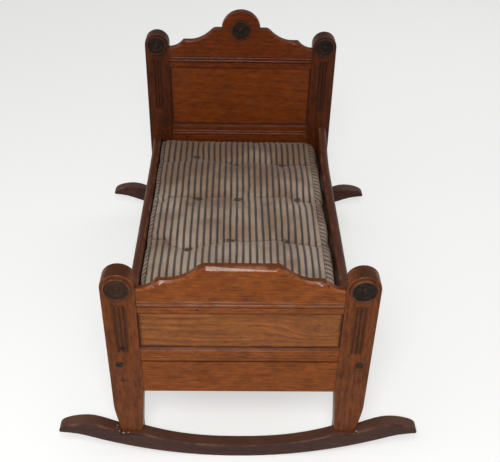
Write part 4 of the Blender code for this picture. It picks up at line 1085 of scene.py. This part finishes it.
# The crease of each row, from the left seam to the right
rowPaths = (
    ((-0.1100, -0.1225), (-0.0656, -0.1243), (-0.0059, -0.1271), (0.0633, -0.1225), (0.1060, -0.1245)),
    (
        (-0.1176, -0.0264), (-0.1008, -0.0262), (-0.0923, -0.0395), (-0.0681, -0.0434), (-0.0358, -0.0350),
        (-0.0249, -0.0345), (-0.0121, -0.0243), (0.0138, -0.0270), (0.0406, -0.0265), (0.0630, -0.0236),
        (0.0807, -0.0300), (0.1047, -0.0336),
    ),
    (
        (-0.1123, 0.0624), (-0.0977, 0.0741), (-0.0765, 0.0773), (-0.0587, 0.0751), (-0.0168, 0.0765),
        (-0.0030, 0.0746), (0.0252, 0.0750), (0.0480, 0.0770), (0.0642, 0.0775), (0.0837, 0.0753),
        (0.0962, 0.0700), (0.1088, 0.0662),
    ),
    (
        (-0.0922, 0.1742), (-0.0525, 0.1750), (-0.0300, 0.1737), (-0.0178, 0.1690), (-0.0039, 0.1703),
        (0.0081, 0.1712), (0.0513, 0.1721), (0.0653, 0.1732), (0.1101, 0.1716),
    ),
)


# 1 at zero, and close to nothing beyond twice the width
def bell(away, width):
    return math.exp(-((away / width) ** 2))


# Where a row's crease lies at x. It is level beyond the ends of its path.
def rowLine(row, x):
    if x <= row[0][0]:
        return row[0][1]
    for (x0, y0), (x1, y1) in zip(row, row[1:]):
        if x <= x1:
            t = (x - x0) / (x1 - x0)
            return y0 + (y1 - y0) * t * t * (3 - 2 * t)
    return row[-1][1]


def roundCorner(x, y, halfX, halfY, radius):
    dx, dy = abs(x) - (halfX - radius), abs(y) - (halfY - radius)
    if dx <= 0 or dy <= 0:
        return x, y
    share = max(dx, dy) / math.hypot(dx, dy)
    return math.copysign(halfX - radius + dx * share, x), math.copysign(halfY - radius + dy * share, y)


# Height of the seam of the top above the underside
def seamHeight(x, y):
    setup = mattressSetup
    left, head = max(0.0, -x / setup["halfX"]), max(0.0, y / setup["head"])
    return setup["seamRise"] + setup["leftRise"] * left**3 + setup["headRise"] * head**4


# Height of the top above the underside before the stuffing swells it
def startHeight(x, y, halfX, halfY):
    setup = mattressSetup
    u, v = min(abs(x) / halfX, 1), min(abs(y - middleY) / halfY, 1)
    height = seamHeight(x, y) + setup["crown"] * (1 - u**3) * (1 - v**6)
    for tuftX, tuftY in tuftPlaces:
        height -= setup["tuftDrop"] * bell(math.hypot(x - tuftX, y - tuftY), setup["tuftWidth"])
    for row in rowPaths:
        height -= setup["rowDrop"] * (1 - u**4) * bell(y - rowLine(row, x), setup["rowWidth"])
    return height


# Top, boxing and underside in one closed skin. The map clothMap holds the flat cloth, in metres.
def sewCover():
    setup = mattressSetup
    nx, ny = setup["cellsAcross"], setup["cellsAlong"]
    halfY = (setup["head"] - setup["foot"]) / 2
    bm = bmesh.new()
    clothMap = bm.loops.layers.uv.new("clothMap")

    def corner(i, j, shares, rise):
        left, right = (share * inset for share, inset in zip(shares, setup["seamInset"]))
        roomX, roomY = setup["halfX"] - (left + right) / 2, halfY - left
        x, y = roundCorner((2 * i / nx - 1) * roomX, (2 * j / ny - 1) * roomY, roomX, roomY, setup["corner"])
        x += (left - right) / 2
        y += middleY
        height = startHeight(x, y, roomX, roomY) if rise is None else rise * seamHeight(x, y)
        return bm.verts.new((x, y, setup["bottom"] + height))

    def patch(corners, places):
        for loop, place in zip(bm.faces.new(corners).loops, places):
            loop[clothMap].uv = place

    def panel(shares, rise, facesDown):
        grid = [[corner(i, j, shares, rise) for i in range(nx + 1)] for j in range(ny + 1)]
        for j in range(ny):
            for i in range(nx):
                corners = [grid[j][i], grid[j][i + 1], grid[j + 1][i + 1], grid[j + 1][i]]
                if facesDown:
                    corners.reverse()
                patch(corners, [(v.co.x, v.co.y) for v in corners])
        return grid

    top = panel((1.0, 1.0), None, False)
    base = panel(setup["sideRings"][-1][:2], 0.0, True)
    border = [(i, 0) for i in range(nx)] + [(nx, j) for j in range(ny)]
    border += [(i, ny) for i in range(nx, 0, -1)] + [(0, j) for j in range(ny, 0, -1)]
    rings = [[top[j][i] for i, j in border]]
    for *shares, rise in setup["sideRings"][:-1]:
        rings.append([corner(i, j, shares, rise) for i, j in border])
    rings.append([base[j][i] for i, j in border])
    count = len(border)
    reach, drop = [0.0], [0.0]
    for k in range(count):
        reach.append(reach[-1] + (rings[2][(k + 1) % count].co - rings[2][k].co).length)
    for upper, lower in zip(rings, rings[1:]):
        drop.append(drop[-1] + (upper[count // 8].co - lower[count // 8].co).length)
    for upper, lower, high, low in zip(rings, rings[1:], drop, drop[1:]):
        for k in range(count):
            n = (k + 1) % count
            places = ((reach[k], high), (reach[k], low), (reach[k + 1], low), (reach[k + 1], high))
            patch((upper[k], lower[k], lower[n], upper[n]), places)
    bm.verts.index_update()
    seams = [[v.index for v in rings[0]], [v.index for v in rings[-1]]]
    return bm, seams, reach, [v.index for row in base for v in row]


def readVectors(items, field="co"):
    flat = np.empty(len(items) * 3)
    items.foreach_get(field, flat)
    return flat.reshape(-1, 3)


def writePoints(mesh, points):
    mesh.vertices.foreach_set("co", points.ravel())
    mesh.update()


# Swells the cover with cloth, held at the tufts, lightly along the rows, and underneath
def stuffCover(piece, seams, under):
    setup = mattressSetup
    before = readVectors(piece.data.vertices)
    hold = piece.vertex_groups.new(name="hold")
    hold.add(under, 1.0, "REPLACE")
    hold.add(seams[0], setup["seamHold"], "REPLACE")
    sewn = set(seams[0])
    for index, (x, y, z) in enumerate(before):
        if z < setup["bottom"] + setup["seamRise"] / 2 or index in sewn:
            continue
        if min(math.hypot(x - tuftX, y - tuftY) for tuftX, tuftY in tuftPlaces) < setup["tuftReach"]:
            hold.add([index], 1.0, "REPLACE")
        elif abs(x) < setup["rowEnd"] and min(abs(y - rowLine(row, x)) for row in rowPaths) < setup["rowReach"]:
            hold.add([index], setup["rowHold"], "REPLACE")
    stuffing = piece.modifiers.new("stuffing", "CLOTH")
    setAll(stuffing.settings, clothSetup)
    stuffing.settings.effector_weights.gravity = 0
    setAll(stuffing.collision_settings, {"use_collision": False, "use_self_collision": False})
    stuffing.point_cache.frame_end = setup["frames"] + 5
    for number in range(1, setup["frames"] + 1):
        scene.frame_set(number)
    swollen = piece.evaluated_get(bpy.context.evaluated_depsgraph_get())
    after = readVectors(swollen.to_mesh().vertices)
    swollen.to_mesh_clear()
    piece.modifiers.remove(stuffing)
    piece.vertex_groups.clear()
    scene.frame_set(1)
    moved = after - before
    far = np.maximum(np.linalg.norm(moved, axis=1), 1e-9)
    print(f"stuffing moved the cover by up to {far.max() * 1000:.2f} mm, {far.mean() * 1000:.2f} on average")
    writePoints(piece.data, before + moved * (np.tanh(far / setup["cap"]) * setup["cap"] / far)[:, None])


# Keeps the cover inside its room, eased near the limit
def keepInRoom(points):
    setup = mattressSetup
    soft = setup["roomSoft"]
    for axis, low, high in ((0, -setup["sideRoom"], setup["sideRoom"]), (1, setup["footRoom"], setup["headRoom"])):
        value = points[:, axis]
        past = np.maximum(value - (high - soft), 0)
        value = np.where(past > 0, high - soft + soft * np.tanh(past / soft), value)
        past = np.maximum((low + soft) - value, 0)
        points[:, axis] = np.where(past > 0, low + soft - soft * np.tanh(past / soft), value)
    points[:, 2] = np.maximum(points[:, 2], setup["bottomRoom"])
    return points


def smoothCover(piece):
    modify(piece, "finer", "SUBSURF", levels=1, render_levels=1, uv_smooth="NONE")
    takeShape(piece)
    writePoints(piece.data, keepInRoom(readVectors(piece.data.vertices)))
    piece.data.shade_smooth()


creaseSetup = {
    "rowDepth": 0.0021,
    "rowMean": 0.55,  # how deep the creases are on average, and how much that varies
    "rowVaries": 0.9,
    "rowFar": 0.02,
    "rowWidth": 0.0018,
    "rowStray": 0.0016,
    "rowLip": 0.0004,
    "lipAway": 0.0045,
    "lipWidth": 0.0022,
    "rowSoilAndShadeWidth": 0.0015,
    "folds": 6,
    "foldDepth": 0.00045,
    "foldReach": 0.0105,
    "foldFar": 0.03,
    "knotWidth": 0.004,
    "tuftSoilAndShadeWidth": 0.0036,
    "soilAndShade": 0.62,
    "seamShade": 0.55,
    "seamShadeWidth": 0.0013,
    "seamCalm": 0.006,  # how near the seam the creases and ripples die out
    "lowest": 0.140,
    "leastUp": 0.3,
    "ripple": 0.00045,
    "pucker": 0.0009,
    "puckerReach": 0.009,
}


# Creases along the rows, puckers round the tufts and slack ripples, and a darkening in the creases, round the tufts
# and along the seams that is partly soil and partly painted shade
def creaseCover(piece, seams):
    setup = creaseSetup
    mesh = piece.data
    points, normals = readVectors(mesh.vertices), readVectors(mesh.vertex_normals, "vector")
    sewn = [index for seam in seams for index in seam]
    edge = KDTree(len(sewn))
    for index in sewn:
        edge.insert(points[index], index)
    edge.balance()
    push, soilAndShade = np.zeros(len(points)), np.zeros(len(points))
    for index, (x, y, z) in enumerate(points):
        fromSeam = edge.find((x, y, z))[2]
        # A painted shadow line along each seam.
        soilAndShade[index] = setup["seamShade"] * bell(fromSeam, setup["seamShadeWidth"])
        if z < setup["lowest"] or normals[index][2] < setup["leastUp"]:
            continue
        calm = min(1.0, fromSeam / setup["seamCalm"])
        for number, row in enumerate(rowPaths):
            away = y - rowLine(row, x) - setup["rowStray"] * noiseOf(x * 60, number * 9.1, 0.0)
            if abs(away) > setup["rowFar"]:
                continue
            depth = setup["rowMean"] + setup["rowVaries"] * noiseOf(x * 26, number * 5.3, 2.0)
            depth = max(0.0, min(1.0, depth)) * calm
            push[index] -= setup["rowDepth"] * depth * bell(away, setup["rowWidth"])
            push[index] += setup["rowLip"] * depth * bell(abs(away) - setup["lipAway"], setup["lipWidth"])
            soilAndShade[index] = max(soilAndShade[index], setup["soilAndShade"] * depth * bell(away, setup["rowSoilAndShadeWidth"]))
        for number, (tuftX, tuftY) in enumerate(tuftPlaces):
            away = math.hypot(x - tuftX, y - tuftY)
            if away > setup["foldFar"]:
                continue
            turn = math.atan2(y - tuftY, x - tuftX)
            folds = math.cos(turn * setup["folds"] + number * 1.7) * (1 - bell(away, setup["knotWidth"]))
            push[index] += setup["foldDepth"] * folds * bell(away, setup["foldReach"])
            soilAndShade[index] = max(soilAndShade[index], setup["soilAndShade"] * bell(away, setup["tuftSoilAndShadeWidth"]))
        stripe = math.cos(2 * math.pi * (x - tickingLook["offset"]) / tickingLook["pitch"])
        push[index] -= setup["pucker"] * stripe * bell(max(0.0, mattressSetup["head"] - y), setup["puckerReach"])
        ripple = noiseOf(x * 34, y * 17, 4.0) + 0.5 * noiseOf(x * 90, y * 48, 8.0)
        push[index] += setup["ripple"] * ripple * calm
    writePoints(mesh, keepInRoom(points + normals * push[:, None]))
    mesh.attributes.new("soilAndShade", "FLOAT", "POINT").data.foreach_set("value", soilAndShade)


# A tube of cloth or thread along a path, with its own place on the cloth map
def tubeAlong(bm, path, radius, sides=8, closed=False, taper=0.0, flatten=1.0, clothMap=None, places=None):
    count = len(path)
    rings = []
    for k, spot in enumerate(path):
        ahead = path[(k + 1) % count] if closed or k < count - 1 else spot
        behind = path[k - 1] if closed or k > 0 else spot
        along = (ahead - behind).normalized()
        side = along.cross(Vector((0, 0, 1)))
        side = side.normalized() if side.length > 1e-6 else Vector((1, 0, 0))
        size = radius * (1 - taper * (k / (count - 1)))
        rings.append(ringAt(bm, spot, side, side.cross(along), size, sides, flatten))
    for k in range(count if closed else count - 1):
        first, second = rings[k], rings[(k + 1) % count]
        for i in range(sides):
            j = (i + 1) % sides
            face = bm.faces.new((first[i], second[i], second[j], first[j]))
            if clothMap is not None:
                low, high = (2 * math.pi * lipSetup["clothRadius"] * s / sides for s in (i, i + 1))
                for loop, (n, around) in zip(face.loops, ((k, low), (k + 1, low), (k + 1, high), (k, high))):
                    loop[clothMap].uv = (places[n], around)
    if not closed:
        bm.faces.new(list(reversed(rings[0])))
        bm.faces.new(rings[-1])


lipSetup = {"radius": 0.0006, "proud": 0.0002, "flatten": 0.9, "clothRadius": 0.0012}


# The folded edge of the cloth where the top and the underside are sewn to the boxing
def makeSeamLips(piece, seams, reach):
    setup = lipSetup
    bm = bmesh.new()
    clothMap = bm.loops.layers.uv.new("clothMap")
    for seam in seams:
        path, places = [], []
        sewn = [piece.data.vertices[index] for index in seam]
        for k, (here, after) in enumerate(zip(sewn, sewn[1:] + sewn[:1])):
            path.append(here.co + here.normal * setup["proud"])
            path.append((here.co + after.co) / 2 + (here.normal + after.normal).normalized() * setup["proud"])
            places += [reach[k], (reach[k] + reach[k + 1]) / 2]
        places.append(reach[-1])
        tubeAlong(bm, path, setup["radius"], 8, True, 0.0, setup["flatten"], clothMap, places)
    bmesh.ops.recalc_face_normals(bm, faces=bm.faces)
    newPiece("mattress_seam_lips", bm, ticking, None, "mattress")


tuftSetup = {
    "knot": (0.0027, 0.0027, 0.0016),
    "knotLumps": 0.35,
    "knotRise": 0.0003,
    "thread": 0.00050,
    "loopWide": (0.0020, 0.0026),
    "loopDeep": (0.0025, 0.0033),
    "loopLean": 0.45,
    "loopRise": 0.0006,
    "loopMeet": 0.98,  # the loops all but meet in the knot
    "loopSteps": 16,
    "endCount": (2, 3),
    "endLength": (0.0040, 0.0075),
    "endCurl": 0.9,
    "endTaper": 0.35,
    "endArch": 0.0008,
    "endSquash": 0.7,
    "endSteps": 8,
    "seed": 1885,
}


# A knot of dark thread with two flat loops and cut ends
def makeTufts(piece):
    setup = tuftSetup
    surface = surfaceOf(piece)

    def onCloth(x, y, above):
        return dropOn(surface, x, y)[0] + Vector((0, 0, above))

    bm = bmesh.new()
    draw = random.Random(setup["seed"])
    wideKnot, deepKnot, highKnot = setup["knot"]
    for number, (x, y) in enumerate(tuftPlaces):
        middle = onCloth(x, y, 0.0)
        for vert in bmesh.ops.create_icosphere(bm, subdivisions=3, radius=1.0)["verts"]:
            swell = 1 + setup["knotLumps"] * noise.noise(vert.co * 2.3 + Vector((x * 90, y * 90, 0)))
            rise = setup["knotRise"] + vert.co.z * highKnot
            vert.co = middle + Vector((vert.co.x * wideKnot, vert.co.y * deepKnot, rise)) * swell
        if number == wornTuft:
            continue
        for side in (-1, 1):
            lean = draw.uniform(-setup["loopLean"], setup["loopLean"])
            wide, deep = draw.uniform(*setup["loopWide"]), draw.uniform(*setup["loopDeep"])
            loop = []
            for k in range(setup["loopSteps"]):
                turn = 2 * math.pi * k / setup["loopSteps"]
                alongLoop = side * wide * (1 + math.cos(turn)) * setup["loopMeet"]
                acrossLoop = deep * math.sin(turn)
                px = x + alongLoop * math.cos(lean) - acrossLoop * math.sin(lean)
                py = y + alongLoop * math.sin(lean) + acrossLoop * math.cos(lean)
                loop.append(onCloth(px, py, setup["loopRise"]))
            tubeAlong(bm, loop, setup["thread"], closed=True)
        for end in range(draw.choice(setup["endCount"])):
            turn = draw.uniform(0, 2 * math.pi)
            length = draw.uniform(*setup["endLength"])
            curl = draw.uniform(-setup["endCurl"], setup["endCurl"])
            path = []
            for k in range(setup["endSteps"] + 1):
                share = k / setup["endSteps"]
                px = x + length * share * math.cos(turn + curl * share)
                py = y + length * share * math.sin(turn + curl * share) * setup["endSquash"]
                path.append(onCloth(px, py, setup["thread"] + setup["endArch"] * math.sin(math.pi * share)))
            tubeAlong(bm, path, setup["thread"], taper=setup["endTaper"])
    bmesh.ops.recalc_face_normals(bm, faces=bm.faces)
    newPiece("mattress_tufts", bm, tuftThread, 60, "mattress")


def makeMattress():
    bm, seams, reach, under = sewCover()
    piece = newPiece("mattress_cover", bm, ticking, None, "mattress")
    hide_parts("mattress")
    stuffCover(piece, seams, under)
    smoothCover(piece)
    creaseCover(piece, seams)
    makeSeamLips(piece, seams, reach)
    makeTufts(piece)
    print("mattress ready:", len(piece.data.polygons), "faces")


makeMattress()
